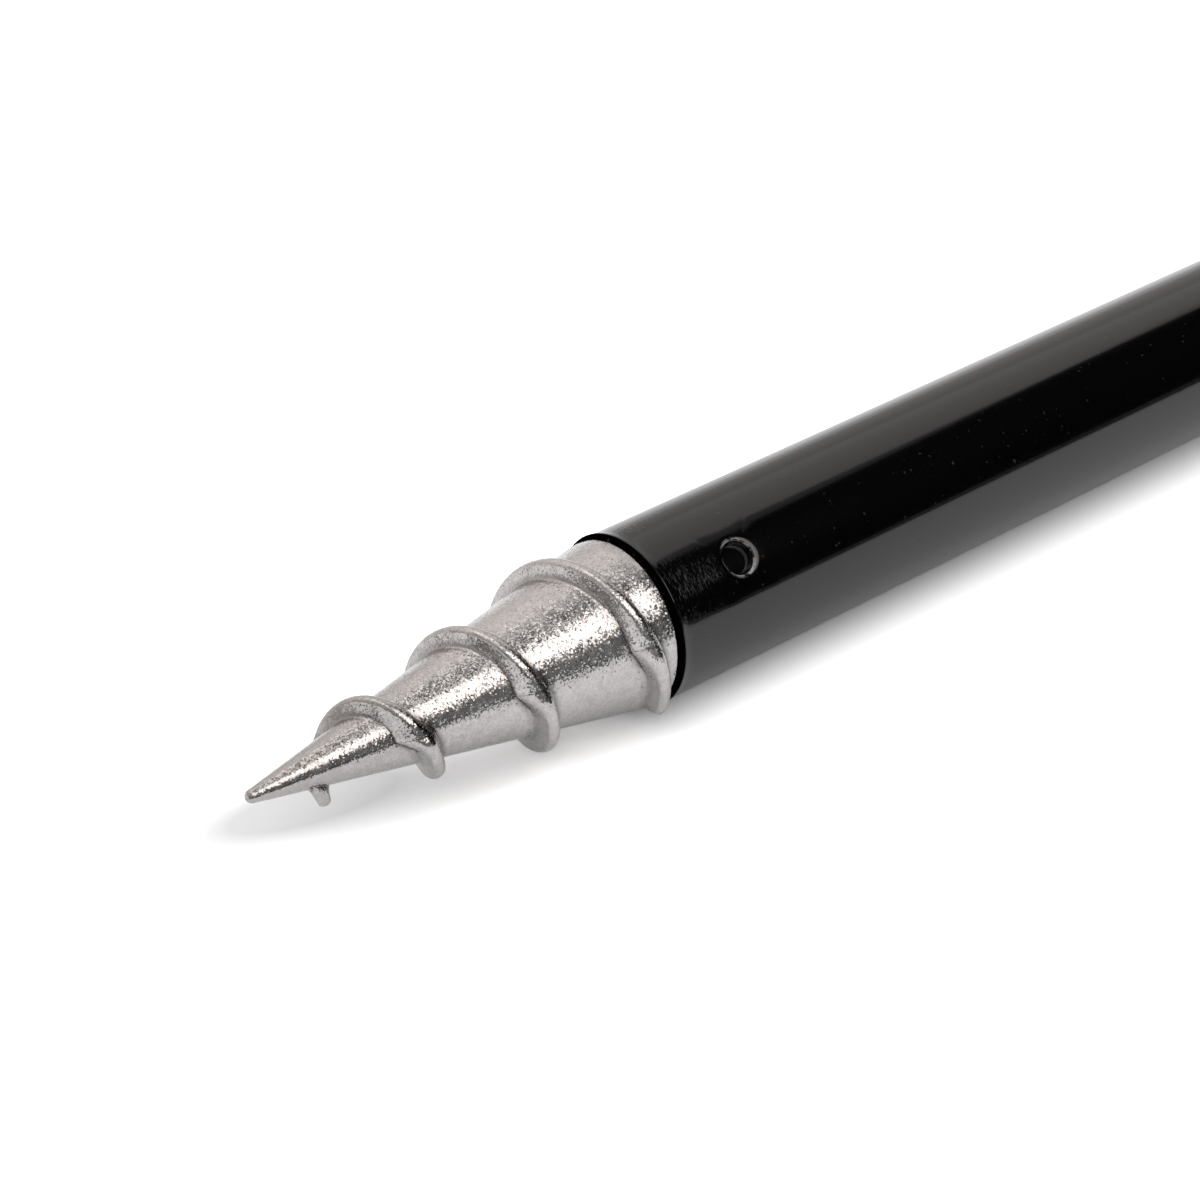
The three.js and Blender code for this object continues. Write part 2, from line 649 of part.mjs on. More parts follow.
function headInsert() {
  const top = headStart + HEAD_LENGTH;
  const boreR = THREAD_BORE_D / 2;
  const foot = top - HEAD_INSERT_LENGTH;
  const outline = [
    [foot, 0],
    [foot, HEAD_INSERT_D / 2],
    [top, HEAD_INSERT_D / 2],
    [top, HEAD_FLANGE_D / 2],
    [headTop, HEAD_FLANGE_D / 2],
    [headTop, boreR + THREAD_CHAMFER],
    [headTop - THREAD_CHAMFER, boreR],
    [headTop - THREAD_DEPTH, boreR],
    [headTop - THREAD_DEPTH, 0],
  ];
  return turnedOnStick(outline, INNER_STEPS);
}

const castAluminium = { color: 0xb9b4b1, roughness: 0.38, metalness: 1 };
const blackEnamel = { color: 0x0b0b0c, roughness: 0.18, metalness: 0 };
const blackNylon = { color: 0x151516, roughness: 0.5, metalness: 0 };
const brightAluminium = { color: 0xc4c6c8, roughness: 0.3, metalness: 1 };
const steel = { color: 0xa9abae, roughness: 0.3, metalness: 1 };
const brass = { color: 0xb89a5a, roughness: 0.3, metalness: 1 };
const naturalAcetal = { color: 0xe6e3da, roughness: 0.45, metalness: 0 };
const rubber = { color: 0x1a1a1a, roughness: 0.8, metalness: 0 };

// A named mesh with its own material
function piece(name, geometry, finish) {
  const mesh = new THREE.Mesh(geometry, new THREE.MeshStandardMaterial(finish));
  mesh.name = name;
  return mesh;
}

// The stick's fixed part: the auger, the outer tube and the collar
const fixed = new THREE.Group();
fixed.add(
  piece("auger_point", augerPoint(), castAluminium),
  piece("outer_tube", outerTube(), blackEnamel),
  piece("clamp_collar", clampCollar(), blackNylon),
  piece("guide_bush", guideBush(), naturalAcetal),
);

// The inner section, which slides and turns in the outer tube
const inner = new THREE.Group();
inner.add(
  piece("inner_tube", innerTube(), brightAluminium),
  piece("foot_bush", footBush(), naturalAcetal),
  piece("foot_pin", footPin(), steel),
  piece("head_cap", headCap(), blackNylon),
  piece("head_insert", headInsert(), brass),
);
FOOT_RING_SETBACKS.forEach((setback, i) => {
  inner.add(piece(`foot_ring_${i + 1}`, footRing(setback), rubber));
});

// The thumb screw, whose own +Y points out of the boss
const clamp = new THREE.Group();
clamp.position.x = screwX;
clamp.rotation.x = screwAngle;
clamp.add(
  piece("boss_insert", bossInsert(), brass),
  piece("lock_screw", lockScrew(), steel),
  piece("lock_pad", lockPad(), naturalAcetal),
  piece("lock_knob", lockKnob(), blackNylon),
  piece("knob_cap", knobCap(), blackNylon),
);

// The set screw, on the collar's far side
const setScrew = new THREE.Group();
setScrew.position.x = screwX;
setScrew.rotation.x = screwAngle + Math.PI;
setScrew.add(piece("collar_set_screw", collarSetScrew(), steel));

const group = new THREE.Group();
group.add(fixed, inner, clamp, setScrew);

// The origin is under the middle of the stick's box, on the surface that the collar and knob lie on.
const knobReach = knobEnd * Math.cos(screwDip) + (KNOB_R - KNOB_EDGE) * Math.sin(screwDip);
group.position.set((AUGER_LENGTH - headTop) / 2, (knobReach - COLLAR_R) / 2, COLLAR_R);

export default group;
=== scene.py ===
"""Looks of a telescopic bank stick: a die-cast auger point staked into a black enamelled tube, with a
clamp collar, a thumb screw and a sliding inner tube that carries a threaded head.

Lengths in the classes are millimetres unless a comment says otherwise. Places along the stick are
measured from the outer tube's lower end, and angles about it in degrees from +Y towards +Z.
"""

from __future__ import annotations

import logging
import math
from collections.abc import Callable, Iterable, Sequence
from dataclasses import dataclass, field
from enum import Enum

import bmesh
import bpy
from mathutils import Matrix, Vector

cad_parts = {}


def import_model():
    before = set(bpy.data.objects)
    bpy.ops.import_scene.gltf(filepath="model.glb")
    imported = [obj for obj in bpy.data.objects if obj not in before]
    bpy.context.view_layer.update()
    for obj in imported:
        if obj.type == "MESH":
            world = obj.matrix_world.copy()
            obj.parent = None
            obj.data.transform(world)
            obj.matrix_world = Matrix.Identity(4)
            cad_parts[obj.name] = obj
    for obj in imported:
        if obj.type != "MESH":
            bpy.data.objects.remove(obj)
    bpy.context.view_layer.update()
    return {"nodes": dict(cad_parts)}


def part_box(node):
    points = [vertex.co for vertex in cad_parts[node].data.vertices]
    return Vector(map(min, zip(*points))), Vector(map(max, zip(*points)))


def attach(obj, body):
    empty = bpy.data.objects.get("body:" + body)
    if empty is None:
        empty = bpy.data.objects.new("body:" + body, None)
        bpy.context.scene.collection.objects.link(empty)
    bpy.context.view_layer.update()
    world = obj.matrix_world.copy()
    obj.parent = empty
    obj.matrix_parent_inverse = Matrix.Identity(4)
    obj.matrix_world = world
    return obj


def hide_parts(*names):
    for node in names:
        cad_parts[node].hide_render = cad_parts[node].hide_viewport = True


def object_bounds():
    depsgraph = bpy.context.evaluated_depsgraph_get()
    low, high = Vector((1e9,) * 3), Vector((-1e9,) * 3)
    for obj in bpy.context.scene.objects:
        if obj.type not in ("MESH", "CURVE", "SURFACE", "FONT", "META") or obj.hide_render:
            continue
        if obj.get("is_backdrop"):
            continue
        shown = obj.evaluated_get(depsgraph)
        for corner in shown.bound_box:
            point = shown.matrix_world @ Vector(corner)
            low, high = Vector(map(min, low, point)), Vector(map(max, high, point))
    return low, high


MM = 0.001

log = logging.getLogger("bank_stick")

Profile = Sequence[tuple[float, float]]
Shaper = Callable[[float, float, float], float]


class Body(Enum):
    """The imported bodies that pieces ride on."""

    OUTER_STICK = "outer_stick"
    INNER_SECTION = "inner_section"
    CLAMP_SCREW = "clamp_screw"


class Slot(Enum):
    """The record's material slots."""

    DIE_CAST_ALUMINIUM = "die_cast_aluminium"
    BLACK_ENAMEL = "black_enamel"
    BLACK_NYLON = "black_nylon"
    ACETAL = "acetal"
    BRASS = "brass"
    STEEL = "steel"
    ANODISED_ALUMINIUM = "anodised_aluminium"
    RUBBER = "rubber"


# Geometry


@dataclass(frozen=True)
class Axis:
    """A line that pieces are turned about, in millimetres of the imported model."""

    origin: Vector
    along: Vector
    zero: Vector

    def point(self, height: float, radius: float, degrees: float) -> Vector:
        """Returns a point in metres.

        Args:
            height: Distance along the axis, in millimetres.
            radius: Distance from the axis, in millimetres.
            degrees: Angle about the axis, from its zero direction.

        Returns:
            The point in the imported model's frame.
        """
        turn = math.radians(degrees)
        side = self.along.cross(self.zero)
        out = self.zero * math.cos(turn) + side * math.sin(turn)
        return (self.origin + self.along * height + out * radius) * MM

    def reversed(self) -> Axis:
        """Returns the axis that points the other way."""
        return Axis(self.origin, -self.along, self.zero)


def stick_axis() -> Axis:
    """Finds the stick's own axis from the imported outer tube.

    Returns:
        The axis, which starts at the tube's lower end.
    """
    low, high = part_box("outer_tube")
    middle = (low + high) / 2 / MM
    return Axis(Vector((low.x / MM, middle.y, middle.z)), Vector((1, 0, 0)), Vector((0, 1, 0)))


def screw_axis(stick: Axis) -> Axis:
    """Returns the thumb screw's axis, which runs from the stick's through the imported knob's cap.

    Args:
        stick: The stick's axis.

    Returns:
        The axis, whose zero direction runs up the stick.
    """
    low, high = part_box("knob_cap")
    reach = (low + high) / 2 / MM - stick.origin
    foot = stick.along * reach.dot(stick.along)
    return Axis(stick.origin + foot, (reach - foot).normalized(), stick.along.copy())


def arc(height: float, radius: float, size: float, start: float, end: float, steps: int = 5) -> Profile:
    """Returns the points of a rounded corner.

    Args:
        height: Height of the arc's centre.
        radius: Radius at which the centre stands.
        size: Radius of the arc itself.
        start: First angle in degrees, 0 pointing up the axis and 90 outwards.
        end: Last angle in degrees.
        steps: Number of flats.

    Returns:
        Points of height and radius.
    """
    turns = [math.radians(start + (end - start) * i / steps) for i in range(steps + 1)]
    return [(height + size * math.cos(t), radius + size * math.sin(t)) for t in turns]


def smooth_step(value: float) -> float:
    """Returns 0 below 0, 1 above 1 and a smooth rise between them."""
    value = min(1.0, max(0.0, value))
    return value * value * (3 - 2 * value)


class Shell:
    """Gathers the rings of points and the faces of one piece, and makes an object of them."""

    def __init__(self, name: str, sharp: float = 35) -> None:
        """Starts an empty shell.

        Args:
            name: Name of the object to make.
            sharp: Edges that bend more than this many degrees stay crisp.
        """
        self.name = name
        self.sharp = sharp
        self.bm = bmesh.new()

    def loop(self, points: Iterable[Vector]) -> list[bmesh.types.BMVert]:
        """Adds points and returns their vertices."""
        return [self.bm.verts.new(p) for p in points]

    def face(self, *corners: bmesh.types.BMVert) -> None:
        """Adds a face between vertices."""
        self.bm.faces.new(corners)

    def bridge(
        self, a: Sequence[bmesh.types.BMVert], b: Sequence[bmesh.types.BMVert], closed: bool = True
    ) -> None:
        """Joins two loops of equal length with quads.

        Args:
            a: First loop.
            b: Second loop.
            closed: Whether the loops run all the way round.
        """
        count = len(a) if closed else len(a) - 1
        for i in range(count):
            j = (i + 1) % len(a)
            self.face(a[i], a[j], b[j], b[i])

    def close(self, ring: Sequence[bmesh.types.BMVert]) -> None:
        """Closes a loop with one face."""
        self.bm.faces.new(ring)

    def turn(
        self,
        axis: Axis,
        profile: Profile,
        steps: int,
        shaper: Shaper | None = None,
        start: float = 0,
        loops: bool = False,
    ) -> None:
        """Turns a profile about an axis.

        Args:
            axis: The axis.
            profile: Points of height and radius, in order along the skin.
            steps: Points round the axis.
            shaper: Gives the radius at a height, radius and angle, where the piece isn't round.
            start: Angle of the first point.
            loops: Whether the profile's last point joins its first.
        """
        angles = [start + 360 * i / steps for i in range(steps)]
        rings = []
        for height, radius in profile:
            radii = [shaper(height, radius, a) if shaper else radius for a in angles]
            rings.append(self.loop(axis.point(height, r, a) for r, a in zip(radii, angles)))
        for a, b in zip(rings, rings[1:]):
            self.bridge(a, b)
        if loops:
            self.bridge(rings[-1], rings[0])
        else:
            for ring, (_, radius) in zip((rings[0], rings[-1]), (profile[0], profile[-1])):
                if radius > 0:
                    self.close(ring)

    def make(self, merge: float = 2e-7) -> bpy.types.Object:
        """Makes the object, with smooth faces and crisp edges.

        Args:
            merge: Points closer than this many metres become one.

        Returns:
            The object, linked to the scene.
        """
        bm = self.bm
        bmesh.ops.remove_doubles(bm, verts=bm.verts, dist=merge)
        bmesh.ops.dissolve_degenerate(bm, edges=bm.edges, dist=merge)
        bmesh.ops.recalc_face_normals(bm, faces=bm.faces)
        mesh = bpy.data.meshes.new(self.name)
        bm.to_mesh(mesh)
        bm.free()
        made = bpy.data.objects.new(self.name, mesh)
        bpy.context.scene.collection.objects.link(made)
        shade(made, self.sharp)
        return made


def shade(piece: bpy.types.Object, sharp: float) -> None:
    """Shades a piece smooth, apart from its crisp edges.

    Args:
        piece: The object.
        sharp: Edges that bend more than this many degrees stay crisp.
    """
    bm = bmesh.new()
    bm.from_mesh(piece.data)
    for face in bm.faces:
        face.smooth = True
    limit = math.radians(sharp)
    for edge in bm.edges:
        edge.smooth = len(edge.link_faces) == 2 and edge.calc_face_angle(0) < limit
    bm.to_mesh(piece.data)
    bm.free()


def cut(piece: bpy.types.Object, tool: bpy.types.Object, sharp: float = 35) -> None:
    """Cuts one closed piece out of another and deletes the tool.

    Args:
        piece: The object that is cut.
        tool: The object that is taken out of it.
        sharp: Edges that bend more than this many degrees stay crisp.
    """
    made = piece.modifiers.new("cut", "BOOLEAN")
    made.operation, made.solver, made.object = "DIFFERENCE", "EXACT", tool
    graph = bpy.context.evaluated_depsgraph_get()
    mesh = bpy.data.meshes.new_from_object(piece.evaluated_get(graph))
    piece.modifiers.clear()
    piece.data = mesh
    bpy.data.objects.remove(tool)
    shade(piece, sharp)


def dress(
    piece: bpy.types.Object, material: bpy.types.Material, slot: Slot, body: Body, *nodes: str
) -> bpy.types.Object:
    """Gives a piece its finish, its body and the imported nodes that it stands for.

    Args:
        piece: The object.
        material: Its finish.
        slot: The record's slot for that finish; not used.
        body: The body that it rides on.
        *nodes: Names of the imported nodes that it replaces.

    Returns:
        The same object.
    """
    piece.data.materials.clear()
    piece.data.materials.append(material)
    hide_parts(*nodes)
    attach(piece, body.value)
    log.info("%s: %d faces, on %s", piece.name, len(piece.data.polygons), body.value)
    return piece


# Finishes


def linear(colour: str) -> tuple[float, float, float, float]:
    """Turns an sRGB hex colour into linear RGBA.

    Args:
        colour: Six hex digits after a #.

    Returns:
        Red, green, blue and an opaque alpha.
    """
    parts = [int(colour.lstrip("#")[i : i + 2], 16) / 255 for i in (0, 2, 4)]
    r, g, b = (c / 12.92 if c <= 0.04045 else ((c + 0.055) / 1.055) ** 2.4 for c in parts)
    return (r, g, b, 1.0)


def per_metre(size: float) -> float:
    """Returns the texture scale at which one feature is this many millimetres wide."""
    return 1 / (size * MM)


def add(
    tree: bpy.types.NodeTree,
    kind: str,
    inputs: Sequence[object] | dict[str | int, object] = (),
    out: str | int = 0,
    **settings: object,
) -> bpy.types.NodeSocket | None:
    """Adds a node with its settings, values and links.

    Args:
        tree: The tree to add to.
        kind: The node's type name, without the word ShaderNode that it starts with.
        inputs: A value, or a socket to link, for each input: by name or number, or in order.
        out: Name or number of the output that is wanted.
        **settings: The node's own properties.

    Returns:
        That output, or None where the node has no outputs.
    """
    # A MapRange takes, in order, its value, the two values that it comes from and the two that it gives.
    made = tree.nodes.new(f"ShaderNode{kind}")
    for key, value in settings.items():
        setattr(made, key, value)
    for key, value in inputs.items() if isinstance(inputs, dict) else enumerate(inputs):
        if isinstance(value, bpy.types.NodeSocket):
            tree.links.new(value, made.inputs[key])
        else:
            made.inputs[key].default_value = value
    return made.outputs[out] if made.outputs else None


def new_material(name: str) -> tuple[bpy.types.Material, bpy.types.NodeTree]:
    """Returns an empty material and its node tree.

    Args:
        name: The material's name.

    Returns:
        The material and the tree.
    """
    material = bpy.data.materials.new(name)
    material.use_nodes = True
    material.node_tree.nodes.clear()
    return material, material.node_tree


@dataclass(frozen=True)
class DieCastAluminium:
    """Die-cast aluminium, tumbled: facets all over, so that a highlight breaks up into sparkling grains.

    Its clouds of stain keep the shaded side from being one flat grey, and painted shade in its roots,
    stronger where the surface is shut in, draws the edges of the flight.
    """

    metal: str = "#BCB9B8"
    stain: str = "#A19E9D"
    cloud: float = 0.8  # width of the stain's clouds, mm
    clouded: tuple[float, float] = (-0.1, 0.65)  # least and most stain of the clouds
    spotted: tuple[float, float] = (-0.4, 0.6)  # how much the facets differ in stain
    dulled: tuple[float, float] = (-47.0, -16.0)  # the tip's end is duller; it clears up to here, mm
    tip_stain: float = 0.75
    corner: str = "#4C4948"  # oxide that the tumbling leaves in the roots
    painted_root_shade: float = 1.0  # width of the painted shade line in the roots, mm
    shut_in: tuple[float, float] = (0.66, 0.96)  # openness at which the painted root shade is full, and gone
    seam: float = 0.13  # painted shade in the roots, and the dark seam line where the die halves met
    seam_dark: float = 0.5
    facet: float = 0.17  # facets of the tumbling, mm; real ones are about 0.1, drawn coarser to show
    facet_tilt: float = 0.43
    grain: float = 0.15  # fine grit between them, mm
    grain_height: float = 0.006
    swell: float = 1.6  # slow unevenness of the cast skin, mm
    swell_height: float = 0.012
    roughness: tuple[float, float] = (0.14, 0.27)

    def material(self, axis: Axis, pull: float) -> bpy.types.Material:
        """Makes the material.

        Args:
            axis: The stick's axis.
            pull: Direction in which the upper die half was pulled, in degrees about the axis.

        Returns:
            The material.
        """
        material, tree = new_material("die_cast_aluminium_tumbled")
        here = add(tree, "TexCoord", out="Object")
        swell = add(tree, "TexNoise", {"Vector": here, "Scale": per_metre(self.swell), "Detail": 3.0})
        cells = add(tree, "TexVoronoi", {"Vector": here, "Scale": per_metre(self.facet)}, "Color")
        lean = add(tree, "VectorMath", (cells, (0.5, 0.5, 0.5)), operation="SUBTRACT")
        much = add(tree, "VectorMath", (lean,), "Value", operation="LENGTH")

        # Stain: clouds, facets that took more or less of it, and the duller end of the tip
        size = per_metre(self.cloud)
        cloud = add(tree, "TexNoise", {"Vector": here, "Scale": size, "Detail": 5.0, "Roughness": 0.75})
        clouds = add(tree, "MapRange", (cloud, 0.35, 0.7, *self.clouded))
        spots = add(tree, "MapRange", (much, 0.2, 0.8, *self.spotted))
        along = add(tree, "SeparateXYZ", (here,), "X")
        first, last = (axis.point(x, 0, 0).x for x in self.dulled)
        tip = add(tree, "MapRange", (along, first, last, self.tip_stain, 0.0))
        both = add(tree, "Math", (clouds, tip), operation="ADD")
        tint = add(tree, "Math", (both, spots), operation="ADD", use_clamp=True)
        tones = {6: linear(self.metal), 7: linear(self.stain)}
        metal = add(tree, "Mix", {0: tint} | tones, 2, data_type="RGBA")

        # Painted shade in the roots, where the surface is shut in, and a dark line where the die halves met
        open_sky = add(tree, "AmbientOcclusion", {"Distance": self.painted_root_shade * MM}, "AO", samples=8)
        # Painted shade: full where the surface is shut in, gone where it lies open
        painted_root_shade = add(tree, "MapRange", (open_sky, *self.shut_in, 1.0, 0.0))
        middle = axis.point(0, 0, 0)
        up = (axis.point(0, 1, pull) - middle).normalized()
        away = add(tree, "VectorMath", (here, middle), operation="SUBTRACT")
        above = add(tree, "VectorMath", (away, up), "Value", operation="DOT_PRODUCT")
        off = add(tree, "Math", (above,), operation="ABSOLUTE")
        near, far = self.seam * 0.25 * MM, self.seam * 0.75 * MM
        seam = add(tree, "MapRange", (off, near, far, self.seam_dark, 0.0))
        dark = add(tree, "Math", (painted_root_shade, seam), operation="MAXIMUM")
        # The painted root shade and the dark seam line take the metal towards this colour
        skin = add(tree, "Mix", {0: dark, 6: metal, 7: linear(self.corner)}, 2, data_type="RGBA")

        # Relief: the casting's swell, the grit, and facets that each lean their own way
        waves = add(tree, "Bump", {"Strength": 1.0, "Distance": self.swell_height * MM, "Height": swell})
        grain = add(tree, "TexNoise", {"Vector": here, "Scale": per_metre(self.grain), "Detail": 0.0})
        depth = self.grain_height * MM
        grit = add(tree, "Bump", {"Strength": 1.0, "Distance": depth, "Height": grain, "Normal": waves})
        tilt = add(tree, "MapRange", (much, 0.0, 1.0, 0.0, self.facet_tilt))
        strewn = add(tree, "VectorMath", {0: lean, "Scale": tilt}, operation="SCALE")
        tilted = add(tree, "VectorMath", (strewn, grit), operation="ADD")
        facets = add(tree, "VectorMath", (tilted,), operation="NORMALIZE")
        worn = add(tree, "MapRange", (swell, 0.3, 0.7, *self.roughness))
        finish = {"Metallic": 1.0, "Base Color": skin, "Roughness": worn, "Normal": facets}
        add(tree, "OutputMaterial", (add(tree, "BsdfPrincipled", finish),))
        return material


@dataclass(frozen=True)
class BlackEnamel:
    """Stoved gloss enamel on drawn tube: near black, with crisp reflections that a faint orange peel bends.

    Fine marks round the tube catch the light behind the mouth, and the punch left bare metal on the
    dimples' rims. The ring at the mouth has no shine: painted shade for the dark gap against the point.
    """

    paint: str = "#030304"
    speck: str = "#2A2A2C"  # dust that the enamel baked in
    dust: float = 0.5  # width of the field that holds one speck, mm
    peel: float = 0.9  # width of the orange peel's waves, mm
    peel_height: float = 0.002
    scratch: float = 0.11  # spacing of the fine marks round the tube, mm
    scratch_length: float = 9.0  # their length, over their spacing
    scratch_height: float = 0.0065
    scuffed: tuple[float, float] = (3.0, 11.0)  # from the mouth, mm: where the point's fitting scuffed it
    bare: str = "#C9C8C8"  # aluminium that the punch laid bare on the dimples' rims
    rim: tuple[float, float] = (2.4, 2.75)  # where those rims lie, from the dimples' floors, mm
    wear: float = 0.5
    roughness: tuple[float, float] = (0.12, 0.24)
    mouth: float = 0.5  # width of the ring at the tube's mouth that has no shine, so that it reads black: painted shade for the gap against the point, mm
    gloss: float = 0.5

    def material(self, start: float, dimples: Sequence[Vector]) -> bpy.types.Material:
        """Makes the material.

        Args:
            start: Place of the tube's mouth along X, in millimetres.
            dimples: The middles of the dimples' floors, in metres.

        Returns:
            The material.
        """
        material, tree = new_material("black_stoved_enamel")
        here = add(tree, "TexCoord", out="Object")
        along = add(tree, "SeparateXYZ", (here,), "X")
        size = per_metre(self.peel)
        peel = add(tree, "TexNoise", {"Vector": here, "Scale": size, "Detail": 3.0, "Roughness": 0.6})
        fine = per_metre(self.scratch)
        long = fine / self.scratch_length
        drawn = add(tree, "Mapping", {"Vector": here, "Scale": (fine, long, long)})
        marks = add(tree, "TexNoise", {"Vector": drawn, "Scale": 1.0, "Detail": 2.0, "Roughness": 0.7})
        dust = add(tree, "TexNoise", {"Vector": here, "Scale": per_metre(self.dust), "Detail": 0.0})

        # Colour: the paint with its specks, and bare metal in patches on the dimples' rims
        specks = add(tree, "MapRange", (dust, 0.8, 0.84, 0.0, 1.0))
        tones = {6: linear(self.paint), 7: linear(self.speck)}
        paint = add(tree, "Mix", {0: specks} | tones, 2, data_type="RGBA")
        near = 1.0
        for middle in dimples:
            away = add(tree, "VectorMath", (here, middle), "Value", operation="DISTANCE")
            near = add(tree, "Math", (near, away), operation="MINIMUM")
        low, high = (r * MM for r in self.rim)
        outside = add(tree, "MapRange", (near, high - 0.25 * MM, high, 1.0, 0.0))
        inside = add(tree, "MapRange", (near, low - 0.05 * MM, low, 0.0, 1.0))
        patchy = add(tree, "MapRange", (peel, 0.47, 0.58, 0.0, self.wear))
        rim = add(tree, "Math", (outside, inside), operation="MULTIPLY")
        worn = add(tree, "Math", (rim, patchy), operation="MULTIPLY")
        skin = add(tree, "Mix", {0: worn, 6: paint, 7: linear(self.bare)}, 2, data_type="RGBA")

        # Relief: orange peel everywhere, and the marks where the fitting scuffed the tube
        first, last = ((start + s) * MM for s in self.scuffed)
        scuff = add(tree, "MapRange", (along, first, last, 1.0, 0.0))
        waves = add(tree, "Bump", {"Strength": 1.0, "Distance": self.peel_height * MM, "Height": peel})
        cuts = add(tree, "MapRange", (marks, 0.58, 0.7, 0.0, 1.0))
        relief = {"Strength": scuff, "Distance": self.scratch_height * MM, "Height": cuts, "Normal": waves}
        # The mouth's ring loses the enamel's shine and renders black: painted shade for the dark gap between
        # the point and the tube
        edge = (start + self.mouth) * MM
        finish = {
            "IOR": 1.5,
            "Base Color": skin,
            "Metallic": worn,
            "Roughness": add(tree, "MapRange", (marks, 0.62, 0.8, *self.roughness)),
            "Normal": add(tree, "Bump", relief),
            "Specular IOR Level": add(
                tree, "MapRange", (along, edge - 0.03 * MM, edge + 0.03 * MM, 0.0, self.gloss)
            ),
        }
        add(tree, "OutputMaterial", (add(tree, "BsdfPrincipled", finish),))
        return material


@dataclass(frozen=True)
class PlainFinish:
    """A finish told by its colour and a cloudy second tone, its shine and the texture of its skin."""

    name: str
    colour: str
    second: str
    roughness: float
    texture: float  # width of the skin's texture, mm
    texture_height: float
    stretch: tuple[float, float, float] = (1.0, 1.0, 1.0)
    ior: float | None = None  # left out for a metal
    cloud: float = 6.0  # width of the clouds of the second tone, mm
    uneven: float = 0.06  # how much the roughness varies, up and down

    def material(self) -> bpy.types.Material:
        """Makes the material.

        Returns:
            The material.
        """
        material, tree = new_material(self.name)
        here = add(tree, "TexCoord", out="Object")
        scale = tuple(per_metre(self.texture) * s for s in self.stretch)
        fine = add(tree, "Mapping", {"Vector": here, "Scale": scale})
        skin = add(tree, "TexNoise", {"Vector": fine, "Scale": 1.0, "Detail": 3.0, "Roughness": 0.6})
        cloud = add(tree, "TexNoise", {"Vector": here, "Scale": per_metre(self.cloud), "Detail": 4.0})
        tint = add(tree, "MapRange", (cloud, 0.35, 0.65, 0.0, 1.0))
        tones = {6: linear(self.colour), 7: linear(self.second)}
        low, high = self.roughness - self.uneven, self.roughness + self.uneven
        relief = {"Strength": 1.0, "Distance": self.texture_height * MM, "Height": skin}
        finish = {
            "Base Color": add(tree, "Mix", {0: tint} | tones, 2, data_type="RGBA"),
            "Roughness": add(tree, "MapRange", (skin, 0.3, 0.7, low, high)),
            "Normal": add(tree, "Bump", relief),
        }
        finish |= {"Metallic": 1.0} if self.ior is None else {"IOR": self.ior}
        add(tree, "OutputMaterial", (add(tree, "BsdfPrincipled", finish),))
        return material


# Glass-filled nylon from a spark-eroded mould: an even satin black with a fine pebbled skin.
BLACK_NYLON = PlainFinish(
    "black_nylon_moulded", "#141415", "#1A1A1C", roughness=0.46, texture=0.35, texture_height=0.008, ior=1.53
)
# Natural acetal, turned: milky white and waxy.
NATURAL_ACETAL = PlainFinish(
    "natural_acetal_turned", "#E4E1D8", "#DCD8CD", roughness=0.38, texture=0.3, texture_height=0.003, ior=1.48
)
# Free-cutting brass, turned: a warm yellow with a broad, soft shine.
TURNED_BRASS = PlainFinish(
    "brass_turned", "#C9A867", "#BE9C5A", roughness=0.26, texture=0.25, texture_height=0.003
)
# Zinc-plated steel: a bluish grey with a soft shine.
ZINC_PLATED_STEEL = PlainFinish(
    "steel_zinc_plated", "#B9BCC1", "#AAADB3", roughness=0.3, texture=0.4, texture_height=0.004
)
# Drawn tube, satin anodised: silver grey with fine lines along its length.
SATIN_ANODISED = PlainFinish(
    "aluminium_drawn_satin_anodised",
    "#C2C4C7",
    "#B6B8BC",
    roughness=0.32,
    texture=0.25,
    texture_height=0.002,
    stretch=(0.02, 1.0, 1.0),
)
# Nitrile rubber, moulded: dull black.
NITRILE_RUBBER = PlainFinish(
    "nitrile_rubber_moulded",
    "#191919",
    "#202020",
    roughness=0.75,
    texture=0.3,
    texture_height=0.006,
    ior=1.52,
)


# Sub-assemblies


